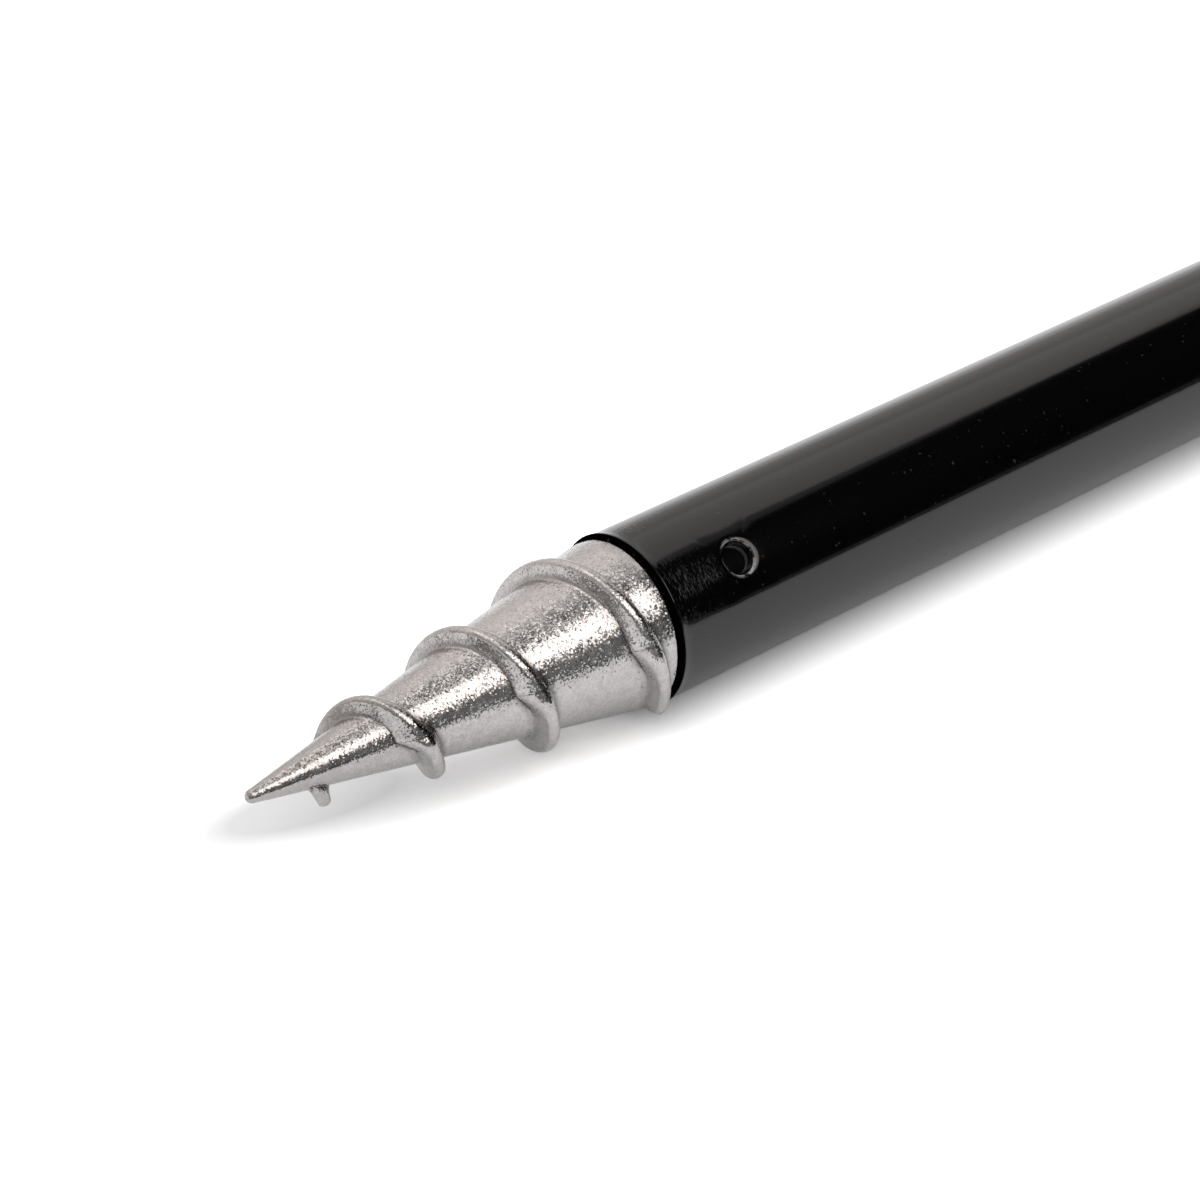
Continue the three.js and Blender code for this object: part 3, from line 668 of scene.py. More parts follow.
@dataclass
class AugerPoint:
    """The die-cast point: a cone with one right-hand flight, a land against the tube and a spigot in it.

    The skin is drawn as a strip that winds round the cone once a turn of the flight, so that its lines
    follow the flight's own section.
    """

    length: float = 50.9
    tip_radius: float = 0.75
    tip_length: float = 2.2  # the strip starts this far from the tip
    tip_rows: int = 6
    land: float = 1.4
    land_radius: float = 9.7
    land_edge: float = 0.35
    tube_radius: float = 10.0
    tube_gap: float = 0.05
    spigot_radius: float = 8.8
    spigot_length: float = 20.0
    spigot_edge: float = 1.0
    lead: float = 13.85
    flight_height: float = 1.65
    lower_extra: float = 0.4  # the lower casting half's flight stands this much higher
    flight_proud: float = 1.3  # most that the crest stands out past the tube
    crest: float = 1.6
    crown_depth: float = 0.5
    front_draft: float = 15.0  # degrees off square
    rear_draft: float = 8.0
    foot: float = 0.18  # the flanks' small root radius
    flight_start: float = 6.1  # from the tip
    start_lag: float = 0.3  # the flight's first part lies this far back
    start_reach: float = 170.0  # degrees over which it comes back into line
    start_angle: float = 185.0
    wait: float = 14.0  # degrees of bare cone before the blunt start
    start_facing: float = 176.0  # direction that the blunt start's flat wall faces
    end_stand_off: float = 1.6
    run_out: float = 0.5
    pull_angle: float = 72.0
    blend: float = 28.0  # degrees past the parting line over which the draft's fill fades
    half_step: float = 0.025  # the two casting halves meet in this small step
    half_blend: float = 10.0  # degrees over which the lower half's flight gains its extra height
    step: float = 3.0  # degrees between the strip's sections
    flank: tuple[float, ...] = (0.0, 0.04, 0.1, 0.18, 0.3, 0.45, 0.62, 0.8, 1.0)
    crown: tuple[float, ...] = (75, 60, 45, 30, 15, 0)
    cone_rows: int = 26
    spare: int = 4  # sections that the strip runs on for, past the land

    def cone(self, x: float) -> float:
        """Returns the cone's radius at a place, before the land."""
        rise = (self.land_radius - self.tip_radius) / (self.length - self.tip_radius - self.land)
        return min(self.land_radius, self.land_radius + rise * (x + self.land))

    def middle(self, along: float) -> float:
        """Returns the place of the flight's middle, this many degrees on from its start."""
        lag = self.start_lag * (1 - smooth_step(along / self.start_reach)) if along > 0 else self.start_lag
        return -self.length + self.flight_start + lag + self.lead * along / 360

    def lower(self, angle: float, width: float) -> float:
        """Returns 1 on the lower casting half and 0 on the upper one.

        Args:
            angle: Angle about the stick.
            width: Degrees over which it changes, past the parting line.

        Returns:
            The share.
        """
        past = (angle - self.pull_angle - 90) % 360
        return min(1.0, max(0.0, min(past, 180 - past) / width))

    def height(self, along: float) -> float:
        """Returns the crest's height above the cone.

        Args:
            along: Degrees on from the flight's start.

        Returns:
            The height, which rises along the flat wall of the blunt start.
        """
        if along < self.wait:
            return 0.0
        middle = self.middle(along)
        fall = min(1.0, max(0.0, -(middle + self.end_stand_off) / self.run_out))
        extra = self.lower_extra * self.lower(self.start_angle + along, self.half_blend)
        full = min(self.flight_height + extra, self.tube_radius + self.flight_proud - self.cone(middle))
        first = self.start_angle - self.start_facing + self.wait
        here = first + along - self.wait
        if here >= 89:
            return full * fall
        wall = self.cone(middle) * (math.cos(math.radians(first)) / math.cos(math.radians(here)) - 1)
        return min(full, wall)

    def fill(self, turn: float, share: float) -> float:
        """Returns how far the casting's draft fills a flank, in degrees of the helix.

        Args:
            turn: Angle from the direction in which the die half is pulled, 0 to 180.
            share: The point's radius over that of a point further out, which hides it.

        Returns:
            The fill in degrees.
        """
        if turn <= 90:
            return turn - math.degrees(math.asin(share * math.sin(math.radians(turn))))
        fade = max(0.0, 1 - (turn - 90) / self.blend)
        return fade * (90 - math.degrees(math.asin(share)))

    def section(self, along: float) -> list[tuple[float, float]]:
        """Returns the flight's section, from its front root over the crest to the rear root.

        Args:
            along: Degrees on from the flight's start; the cone is bare before it.

        Returns:
            Points of place and radius.
        """
        middle, height = self.middle(along), self.height(along)
        bare = height < 1e-6
        crest = self.cone(middle) + height
        turn = (self.start_angle + along - self.pull_angle) % 180
        half, depth = min(self.crest / 2, height), min(self.crown_depth, height)
        sides = []
        for side, draft, seen in ((-1, self.front_draft, turn), (1, self.rear_draft, 180 - turn)):
            lean = math.tan(math.radians(draft)) * (height - depth)
            foot = self.foot * min(1.0, height)
            rows = []
            for share in self.flank:
                width = half + lean * (1 - share) + foot * (1 - share) ** 8
                base = self.cone(middle + side * width)
                rows.append((base + share * (crest - depth - base), width))
            for degrees in self.crown:
                turned = math.radians(degrees)
                rows.append((crest - depth * (1 - math.cos(turned)), half * math.sin(turned)))
            points = []
            for i, (radius, width) in enumerate(rows):
                reach = width
                for outer, other in () if bare else rows[i:]:
                    share = min(1.0, radius / outer)
                    reach = max(reach, other + self.lead * self.fill(seen, share) / 360)
                x = middle + side * reach
                points.append((x, max(radius, self.cone(x)) if i else self.cone(x)))
            sides.append(points)
        front, rear = sides
        return front + rear[-2::-1]

    def strip(self, along: float) -> list[tuple[float, float]]:
        """Returns one section of the skin: the flight here and the cone up to the next turn's root.

        Args:
            along: Degrees on from the flight's start.

        Returns:
            Points of place and radius.
        """
        section = self.section(along)
        last, (end, _) = section[-1][0], self.section(along + 360)[0]
        rows = [last + (end - last) * i / (self.cone_rows + 1) for i in range(1, self.cone_rows + 1)]
        step = self.half_step * self.lower(self.start_angle + along, self.step)
        return [(x, r + step) for x, r in section + [(x, self.cone(x)) for x in rows]]

    def build(self, axis: Axis) -> bpy.types.Object:
        """Builds the casting's mesh.

        Args:
            axis: The stick's axis.

        Returns:
            The object.
        """
        shell = Shell("auger_casting", sharp=50)
        front, rear = -self.length + self.tip_length, -self.tube_gap
        land = rear - self.land_edge
        turn_steps = round(360 / self.step)
        first = -turn_steps - round(self.flight_start / self.lead * turn_steps)
        last = round((self.length - self.flight_start) / self.lead * turn_steps) + self.spare
        sections: list[list[bmesh.types.BMVert]] = []
        for i in range(first, last + turn_steps + 1):
            along = i * self.step
            points = []
            for x, radius in self.strip(along):
                if x < front:
                    x, radius = front, self.cone(front)
                elif x > land:
                    x, radius = land, max(radius, self.land_radius)
                points.append(axis.point(x, radius, self.start_angle + along))
            sections.append(shell.loop(points))
        for i, (a, b) in enumerate(zip(sections, sections[1:])):
            shell.bridge(a, b, closed=False)
            if i + turn_steps + 1 < len(sections):
                shell.face(a[-1], b[-1], sections[i + turn_steps + 1][0], sections[i + turn_steps][0])
        self.add_ends(shell, axis, front, rear, turn_steps)
        return shell.make(merge=2e-6)

    def add_ends(self, shell: Shell, axis: Axis, front: float, rear: float, steps: int) -> None:
        """Adds the tip's ball and the spigot.

        Args:
            shell: The shell to add to.
            axis: The stick's axis.
            front: Place where the strip starts.
            rear: Place where it ends.
            steps: Points round the axis.
        """
        centre = -self.length + self.tip_radius
        slope = math.degrees(math.atan2(self.cone(front + 1) - self.cone(front), 1.0))
        ball = arc(centre, 0, self.tip_radius, 180, 90 + slope, 8)
        reach = front - ball[-1][0]
        places = [ball[-1][0] + reach * i / self.tip_rows for i in range(1, self.tip_rows)]
        tip = [*ball[1:], *((x, self.cone(x)) for x in (*places, front))]
        edge = self.land_edge
        spigot = [
            *arc(rear - edge, self.land_radius - edge, edge, 90, 0, 5),
            (rear, self.spigot_radius),
            (self.spigot_length - self.spigot_edge, self.spigot_radius),
            (self.spigot_length, self.spigot_radius - self.spigot_edge),
        ]
        for profile in (tip, spigot):
            rings = [
                shell.loop(axis.point(x, r, self.start_angle + 360 * i / steps) for i in range(steps))
                for x, r in profile
            ]
            for a, b in zip(rings, rings[1:]):
                shell.bridge(a, b)
            end = rings[0] if profile is tip else rings[-1]
            shell.close(end)

    def dressed(self, axis: Axis) -> None:
        """Builds the point and dresses it."""
        material = DieCastAluminium().material(axis, self.pull_angle)
        dress(self.build(axis), material, Slot.DIE_CAST_ALUMINIUM, Body.OUTER_STICK, "auger_point")


@dataclass
class StakedTube:
    """A drawn tube with a ring of punched dimples, which hold it on the spigot inside."""

    name: str
    start: float
    end: float
    radius: float
    dimple_place: float
    wall: float = 1.0
    plain_ends: bool = False
    rounding: float = 0.6  # of the top end's outer corner
    # The mouth's section, from the bore's side out: place from the end, and height over the tube's skin.
    # The corner is rounded, and the enamel gathered on it in a bead that thins out behind it.
    mouth: tuple[tuple[float, float], ...] = (
        (0.0, -0.6),
        (0.0, -0.36),
        (0.03, -0.3),
        (0.14, -0.18),
        (0.28, -0.03),
        (0.4, 0.09),
        (0.46, 0.14),
        (0.53, 0.16),
        (0.62, 0.16),
        (0.78, 0.13),
        (1.1, 0.06),
        (1.6, 0.015),
        (2.3, 0.0),
    )
    dimples: int = 3
    first_angle: float = 135.0  # the first dimple's
    columns: int = 90  # points round the tube
    patch: int = 12  # squares along each side of the field round a dimple
    # The dimple's section: distance from its centre, and depth. The skin rolls in softly up to the
    # punch's edge, and a steep wall runs from there round to the flat floor.
    dent: tuple[tuple[float, float], ...] = (
        (2.8, 0.0),
        (2.55, 0.012),
        (2.36, 0.03),
        (2.24, 0.052),
        (2.16, 0.08),
        (2.1, 0.12),
        (2.05, 0.18),
        (2.01, 0.28),
        (1.97, 0.6),
        (1.87, 0.9),
        (1.67, 1.2),
        (1.38, 1.42),
        (1.05, 1.55),
        (0.65, 1.6),
        (0.3, 1.6),
    )

    @property
    def column(self) -> float:
        """Returns the degrees between two points round the tube."""
        return 360 / self.columns

    def middles(self, axis: Axis) -> list[Vector]:
        """Returns the middles of the dimples' floors.

        Args:
            axis: The stick's axis.

        Returns:
            The points, in metres.
        """
        floor = self.radius - self.dent[-1][1]
        angles = (self.first_angle + 360 * i / self.dimples for i in range(self.dimples))
        return [axis.point(self.dimple_place, floor, angle) for angle in angles]

    def rows(self) -> list[tuple[float, float]]:
        """Returns the outside's rows, as place and radius.

        Returns:
            One pair for each ring of points, from the mouth up.
        """
        half = self.patch / 2 * math.radians(self.column) * self.radius
        field = [
            (self.dimple_place - half + 2 * half * i / self.patch, self.radius)
            for i in range(self.patch + 1)
        ]
        if self.plain_ends:
            return [(self.start, self.radius), *field, (self.end, self.radius)]
        low = [(self.start + place, self.radius + height) for place, height in self.mouth]
        high = arc(self.end - self.rounding, self.radius - self.rounding, self.rounding, 90, 0, 8)
        return [*low, *field, *high]

    def build(self, axis: Axis) -> bpy.types.Object:
        """Builds the tube's mesh.

        Args:
            axis: The stick's axis.

        Returns:
            The object.
        """
        shell = Shell(self.name, sharp=50)
        angles = [self.first_angle + self.column * j for j in range(self.columns)]
        rows = self.rows()
        grid = [shell.loop(axis.point(x, r, a) for a in angles) for x, r in rows]
        half, spacing = self.patch // 2, self.columns // self.dimples
        first = max(i for i, (x, _) in enumerate(rows) if x < self.dimple_place) - half + 1
        for i, (a, b) in enumerate(zip(grid, grid[1:])):
            for j in range(self.columns):
                in_patch = first <= i < first + self.patch and (j + half) % spacing < self.patch
                if not in_patch:
                    k = (j + 1) % self.columns
                    shell.face(a[j], a[k], b[k], b[j])
        for d in range(self.dimples):
            self.add_dimple(shell, axis, grid, first, d * spacing)
        bore = self.radius - self.wall
        inside = [shell.loop(axis.point(x, bore, a) for a in angles) for x in (self.start, self.end)]
        shell.bridge(inside[0], inside[1])
        shell.bridge(grid[0], inside[0])
        shell.bridge(grid[-1], inside[1])
        return shell.make()

    def add_dimple(
        self, shell: Shell, axis: Axis, grid: Sequence[Sequence[bmesh.types.BMVert]], row: int, column: int
    ) -> None:
        """Fills a square field of the tube's skin with rings that lead down into a dimple.

        Args:
            shell: The shell to add to.
            axis: The stick's axis.
            grid: The tube's rows of vertices.
            row: First row of the field.
            column: Column of the dimple's centre.
        """
        n, half = self.patch, self.patch // 2
        border = (
            [(0, j) for j in range(n)]
            + [(i, n) for i in range(n)]
            + [(n, n - j) for j in range(n)]
            + [(n - i, 0) for i in range(n)]
        )
        pitch = math.radians(self.column) * self.radius
        outer = [grid[row + i][(column - half + j) % self.columns] for i, j in border]
        centre = self.first_angle + self.column * column
        angles = [math.atan2((j - half) * pitch, (i - half) * pitch) for i, j in border]
        last = outer
        for reach, depth in self.dent:
            ring = shell.loop(
                axis.point(
                    self.dimple_place + reach * math.cos(a),
                    self.radius - depth,
                    centre + math.degrees(reach * math.sin(a) / self.radius),
                )
                for a in angles
            )
            shell.bridge(last, ring)
            last = ring
        shell.close(last)


@dataclass
class ClampCollar:
    """The moulded collar: round over the tube, drawn out to a boss with a flat face for the screw."""

    start: float = 345.0
    top: float = 373.0
    lip: float = 3.5
    radius: float = 12.47
    edge: float = 0.9
    edge_steps: int = 6
    half_width: float = 6.78
    reach: float = 20.5
    corner: float = 1.6
    bore: float = 10.2
    lip_bore: float = 8.4
    bevel: float = 0.3  # at the bore's ends
    screw_hole: float = 3.3
    insert_start: float = 12.2
    insert_hole: float = 4.8
    set_screw_hole: float = 2.2

    def outline(self) -> list[tuple[float, float, float]]:
        """Returns the outline across the stick: place along the boss, place across it and the normal.

        Returns:
            Points with their normal's angle in radians.
        """
        corner = Vector((self.reach - self.corner, self.half_width - self.corner))
        lean = math.acos((self.radius - self.corner) / corner.length)
        side = math.degrees(math.atan2(corner.y, corner.x) + lean)
        points = []
        for x, y, size, start, end, steps in (
            (0, 0, self.radius, side, 360 - side, 72),
            (corner.x, -corner.y, self.corner, -side, 0, 10),
            (corner.x, corner.y, self.corner, 0, side, 10),
        ):
            for i in range(steps + 1):
                turn = math.radians(start + (end - start) * i / steps)
                points.append((x + size * math.cos(turn), y + size * math.sin(turn), turn))
        return points

    def loops(self) -> list[tuple[float, list[tuple[float, float]]]]:
        """Returns the skin's loops, each as its place along the stick and its points across it.

        Returns:
            The loops in order, over the outside and back through the bore.
        """
        outline = self.outline()
        rounded = []
        for i in range(self.edge_steps + 1):
            bend = math.radians(90 * i / self.edge_steps)
            inset = self.edge * (1 - math.cos(bend))
            points = [(u - inset * math.cos(t), v - inset * math.sin(t)) for u, v, t in outline]
            rounded.append((self.edge * (1 - math.sin(bend)), points))
        low = [(self.start + x, points) for x, points in reversed(rounded)]
        high = [(self.top - x, points) for x, points in rounded]
        shoulder = self.top - self.lip
        bores = []
        for x, radius in (
            (self.top, self.lip_bore + self.bevel),
            (self.top - self.bevel, self.lip_bore),
            (shoulder, self.lip_bore),
            (shoulder, self.bore),
            (self.start + self.bevel, self.bore),
            (self.start, self.bore + self.bevel),
        ):
            scales = [radius / math.hypot(u, v) for u, v, _ in outline]
            bores.append((x, [(u * s, v * s) for (u, v, _), s in zip(outline, scales)]))
        return [*low, *high, *bores]

    def build(self, axis: Axis, screw: Axis) -> bpy.types.Object:
        """Builds the collar's mesh.

        Args:
            axis: The stick's axis.
            screw: The thumb screw's axis, whose zero direction runs up the stick.

        Returns:
            The object.
        """
        shell = Shell("clamp_collar_moulding", sharp=40)
        out, side = screw.along, axis.along.cross(screw.along)
        rings = [
            shell.loop((axis.origin + axis.along * x + out * u + side * v) * MM for u, v in points)
            for x, points in self.loops()
        ]
        for a, b in zip(rings, [*rings[1:], rings[0]]):
            shell.bridge(a, b)
        made = shell.make()
        past = 1.0
        for about, start, end, radius in (
            (screw, 0.0, self.reach + past, self.screw_hole),
            (screw, self.insert_start, self.reach + past, self.insert_hole),
            (screw.reversed(), 0.0, self.radius + past, self.set_screw_hole),
        ):
            tool = Shell("tool")
            tool.turn(about, [(start, radius), (end, radius)], 64)
            cut(made, tool.make(), 40)
        return made


def hexagon(height: float, half_flats: float, degrees: float) -> float:
    """Returns a hexagon's radius at an angle, from half its width across the flats, at any height."""
    return half_flats / math.cos(math.radians((degrees + 30) % 60 - 30))


def flute(degrees: float, count: int) -> float:
    """Returns how deep a flute is at an angle, from 0 on the land beside it to 1 in its middle."""
    return max(0.0, math.cos(math.radians(degrees * count))) ** 0.8


def thread_form(height: float, degrees: float, pitch: float) -> float:
    """Returns how far a right-hand thread stands up at a place, from 0 in its root to 1 on its crest."""
    phase = (height / pitch - degrees / 360) % 1.0
    return min(1.0, max(0.0, 1.5 * abs(2 * phase - 1) - 0.25))


@dataclass
class ThumbScrew:
    """The thumb screw: a fluted nylon knob moulded round a hexagon-headed screw, and the brass insert."""

    boss_face: float = 20.5
    insert_start: float = 12.5
    insert_radius: float = 4.6
    screw_radius: float = 3.0
    screw_tip: float = 9.8
    tip_bevel: float = 0.6
    pitch: float = 1.0
    thread_steps: int = 14  # points in one turn of the thread, along the screw
    knob_start: float = 21.2
    knob_body: float = 23.5
    knob_end: float = 32.5
    knob_radius: float = 9.0
    knob_hole: float = 3.2
    hub_radius: float = 5.0
    hub_fillet: float = 0.5
    flutes: int = 14
    flute_depth: float = 0.7
    edge: float = 0.6
    head_pocket: float = 26.5
    head_flats: float = 10.0
    head_height: float = 4.0
    cap_start: float = 31.3
    cap_radius: float = 6.2
    gap: float = 0.2

    def fluted(self, height: float, radius: float, degrees: float) -> float:
        """Returns the knob's radius with its flutes, which run out at its bevelled edges.

        Args:
            height: Place along the screw.
            radius: Radius of the plain knob there.
            degrees: Angle about the screw.

        Returns:
            The radius.
        """
        if radius < self.knob_radius - self.edge - 1e-6 or height < self.knob_body + 1e-6:
            return radius
        return radius - self.flute_depth * flute(degrees, self.flutes)

    def knob(self, axis: Axis) -> bpy.types.Object:
        """Builds the knob.

        Args:
            axis: The screw's axis.

        Returns:
            The object.
        """
        shell = Shell("lock_knob_moulding", sharp=38)
        rim, body, fillet = self.knob_radius - self.edge, self.knob_body, self.hub_fillet
        recess, floor = self.cap_radius + self.gap, self.cap_start - 0.3
        profile = [
            (self.knob_start, self.knob_hole),
            (self.knob_start, self.hub_radius - 0.3),
            (self.knob_start + 0.3, self.hub_radius),
            (body - fillet, self.hub_radius),
            *arc(body - fillet, self.hub_radius + fillet, fillet, -90, 0, 4),
            (body, rim - 0.4),
            *arc(body + self.edge, rim, self.edge, 180, 90, 5),
            *((body + self.edge + i, self.knob_radius) for i in range(1, 8)),
            *arc(self.knob_end - self.edge, rim, self.edge, 90, 0, 5),
            (self.knob_end, recess + 0.25),
            (self.knob_end - 0.25, recess),
            (floor, recess),
            (floor, self.knob_hole),
        ]
        shell.turn(axis, profile, self.flutes * 14, self.fluted, loops=True)
        return shell.make()

    def cap(self, axis: Axis) -> bpy.types.Object:
        """Builds the disc that closes the knob.

        Args:
            axis: The screw's axis.

        Returns:
            The object.
        """
        shell = Shell("knob_cap_disc")
        top, radius, edge = self.knob_end, self.cap_radius, 0.25
        profile = [
            (self.cap_start, radius),
            (top - edge, radius),
            *arc(top - edge, radius - edge, edge, 90, 0, 4),
            (top, radius - 1.6),
            (top - 0.15, radius - 1.9),
        ]
        shell.turn(axis, profile, 72)
        return shell.make()

    def threaded(self, height: float, radius: float, degrees: float) -> float:
        """Returns the screw's radius with its thread, which starts a little way up from the tip.

        Args:
            height: Place along the screw.
            radius: Radius of the plain shank there.
            degrees: Angle about the screw.

        Returns:
            The radius.
        """
        depth = 0.61 * self.pitch * smooth_step((height - self.screw_tip) / 0.8)
        return radius - depth * (1 - thread_form(height, degrees, self.pitch))

    def screw(self, axis: Axis) -> bpy.types.Object:
        """Builds the screw with its thread and its hexagon head.

        Args:
            axis: The screw's axis.

        Returns:
            The object.
        """
        shell = Shell("lock_screw_m6", sharp=30)
        length = self.head_pocket + 0.4 - self.screw_tip
        rows = round(length / self.pitch * self.thread_steps)
        profile = [(self.screw_tip, self.screw_radius - self.tip_bevel)]
        for i in range(rows + 1):
            bevel = self.tip_bevel if i < 3 else 0.0
            profile.append((self.screw_tip + length * i / rows, self.screw_radius - bevel))
        shell.turn(axis, profile, 48, self.threaded)
        half = self.head_flats / 2
        head = [(self.head_pocket + 0.15, half), (self.head_pocket + self.head_height, half)]
        shell.turn(axis, head, 48, hexagon)
        return shell.make()

    def insert(self, axis: Axis) -> bpy.types.Object:
        """Builds the brass insert in the boss.

        Args:
            axis: The screw's axis.

        Returns:
            The object.
        """
        shell = Shell("boss_insert_brass")
        bore, face = self.screw_radius + self.gap, self.boss_face
        profile = [
            (self.insert_start, bore),
            (self.insert_start, self.insert_radius),
            (face - 0.2, self.insert_radius),
            (face, self.insert_radius - 0.2),
            (face, bore + 0.35),
            (face - 0.35, bore),
        ]
        shell.turn(axis, profile, 72, loops=True)
        return shell.make()

    def dressed(
        self, axis: Axis, nylon: bpy.types.Material, brass: bpy.types.Material, steel: bpy.types.Material
    ) -> None:
        """Builds the pieces and dresses them.

        Args:
            axis: The thumb screw's axis.
            nylon: Finish of the knob and cap.
            brass: Finish of the insert.
            steel: Finish of the screw.
        """
        dress(self.knob(axis), nylon, Slot.BLACK_NYLON, Body.CLAMP_SCREW, "lock_knob")
        dress(self.cap(axis), nylon, Slot.BLACK_NYLON, Body.CLAMP_SCREW, "knob_cap")
        dress(self.screw(axis), steel, Slot.STEEL, Body.CLAMP_SCREW, "lock_screw")
        dress(self.insert(axis), brass, Slot.BRASS, Body.OUTER_STICK, "boss_insert")


@dataclass
class SetScrew:
    """The grub screw that fixes the collar to the tube."""

    start: float = 10.2
    length: float = 2.2
    radius: float = 2.0
    socket: float = 2.0  # across the flats of its hexagon socket

    def socketed(self, height: float, radius: float, degrees: float) -> float:
        """Returns the radius, which follows the hexagon on the socket's wall."""
        return hexagon(height, radius, degrees) if abs(radius - self.socket / 2) < 1e-6 else radius

    def build(self, axis: Axis) -> bpy.types.Object:
        """Builds the screw.

        Args:
            axis: An axis that points out of its hole.

        Returns:
            The object.
        """
        shell = Shell("collar_set_screw_m4", sharp=30)
        end, half = self.start + self.length, self.socket / 2
        floor = end - self.length / 2
        profile = [
            (self.start, self.radius - 0.4),
            (self.start + 0.4, self.radius),
            (end - 0.25, self.radius),
            (end, self.radius - 0.25),
            (end, half * 1.2),
            (end, half),
            (floor, half),
            (floor - 0.3, half * 0.3),
        ]
        shell.turn(axis, profile, 48, self.socketed)
        return shell.make()


@dataclass
class Head:
    """The moulded head on the inner tube, with its flanged brass insert and the 3/8 inch thread."""

    start: float = 373.3
    length: float = 22.0
    radius: float = 10.0
    flutes: int = 18
    flute_depth: float = 0.5
    flute_end: float = 2.4  # length over which a flute runs out
    edge: float = 0.8
    spigot: float = 16.0
    spigot_radius: float = 6.8
    flange_radius: float = 8.2
    flange: float = 1.2
    flange_edge: float = 0.25
    insert_radius: float = 6.3
    insert_length: float = 16.0
    gap: float = 0.1  # between the insert and its pocket in the barrel
    seat: float = 0.02  # between the flange and the barrel
    thread_major: float = 4.76
    thread_pitch: float = 1.27
    thread_height: float = 0.64 * 1.27
    thread_depth: float = 14.5
    thread_steps: int = 12  # points in one turn of the thread, along the stick
    lead_in: float = 0.7

    @property
    def top(self) -> float:
        """Returns the place of the barrel's top."""
        return self.start + self.length

    def fluted(self, height: float, radius: float, degrees: float) -> float:
        """Returns the barrel's radius with its flutes.

        Args:
            height: Place along the stick.
            radius: Radius of the plain barrel there.
            degrees: Angle about the stick.

        Returns:
            The radius.
        """
        if radius < self.radius - self.edge - 1e-6:
            return radius
        low, high = (height - self.start) / self.flute_end, (self.top - height) / self.flute_end
        ends = smooth_step(low) * smooth_step(high)
        return radius - self.flute_depth * flute(degrees, self.flutes) * ends

    def barrel(self, axis: Axis) -> bpy.types.Object:
        """Builds the moulded barrel and its spigot.

        Args:
            axis: The stick's axis.

        Returns:
            The object.
        """
        shell = Shell("head_moulding", sharp=38)
        top, rim, pocket = self.top, self.radius - self.edge, self.insert_radius + self.gap
        side = self.length - 2 * self.edge
        profile = [
            (self.start - self.spigot, self.spigot_radius),
            (self.start, self.spigot_radius),
            *arc(self.start + self.edge, rim, self.edge, 180, 90, 6),
            *((self.start + self.edge + side * i / 16, self.radius) for i in range(1, 16)),
            *arc(top - self.edge, rim, self.edge, 90, 0, 6),
            (top, pocket),
            (top - self.insert_length - self.gap, pocket),
        ]
        shell.turn(axis, profile, self.flutes * 10, self.fluted)
        return shell.make()

    def threaded(self, height: float, radius: float, degrees: float) -> float:
        """Returns the insert's radius with its female thread, which fades out at the mouth.

        Args:
            height: Place along the stick.
            radius: Radius of the plain insert there.
            degrees: Angle about the stick.

        Returns:
            The radius.
        """
        if abs(radius - self.thread_major) > 1e-6:
            return radius
        depth = self.thread_height * smooth_step((self.top + self.flange - height) / 0.9)
        return radius - depth * thread_form(height, degrees, self.thread_pitch)

    def insert(self, axis: Axis) -> bpy.types.Object:
        """Builds the flanged insert with its female thread.

        Args:
            axis: The stick's axis.

        Returns:
            The object.
        """
        shell = Shell("head_insert_brass", sharp=30)
        seat, face, major = self.top + self.seat, self.top + self.flange, self.thread_major
        start, depth = face - self.lead_in, self.thread_depth - self.lead_in
        rows = round(self.thread_depth / self.thread_pitch * self.thread_steps)
        profile = [
            (self.top - self.insert_length, self.insert_radius),
            (seat, self.insert_radius),
            (seat, self.flange_radius),
            (face - self.flange_edge, self.flange_radius),
            (face, self.flange_radius - self.flange_edge),
            (face, major + self.lead_in),
            (start + 0.15, major + 0.15),
            *((start - depth * i / rows, major) for i in range(rows + 1)),
            (face - self.thread_depth, major - self.thread_height - 0.1),
        ]
        shell.turn(axis, profile, 60, self.threaded)
        return shell.make()

    def dressed(self, axis: Axis, nylon: bpy.types.Material, brass: bpy.types.Material) -> None:
        """Builds the barrel and the insert and dresses them."""
        dress(self.barrel(axis), nylon, Slot.BLACK_NYLON, Body.INNER_SECTION, "head_cap")
        dress(self.insert(axis), brass, Slot.BRASS, Body.INNER_SECTION, "head_insert")


# Studio

WHITE = "#FFFFFF"
WARM_LIGHT = "#FFF9F4"
WARM_WALL = "#FFF8F4"
GLOSSY_RAYS = ("Is Glossy Ray", "Is Transmission Ray")


def direction(azimuth: float, elevation: float) -> Vector:
    """Returns the unit vector at an azimuth, from +Y towards +X, and an elevation, in degrees."""
    a, e = math.radians(azimuth), math.radians(elevation)
    return Vector((math.sin(a) * math.cos(e), math.cos(a) * math.cos(e), math.sin(e)))


def stage_sheet(
    name: str, rows: Sequence[Sequence[Vector]], material: bpy.types.Material
) -> bpy.types.Object:
    """Makes a surface of the studio from a grid of points.

    Args:
        name: The object's name.
        rows: Rows of points, in metres.
        material: Its finish.

    Returns:
        The object.
    """
    shell = Shell(name)
    loops = [shell.loop(row) for row in rows]
    for a, b in zip(loops, loops[1:]):
        shell.bridge(a, b, closed=False)
    made = shell.make()
    made.data.materials.append(material)
    made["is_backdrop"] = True
    return made


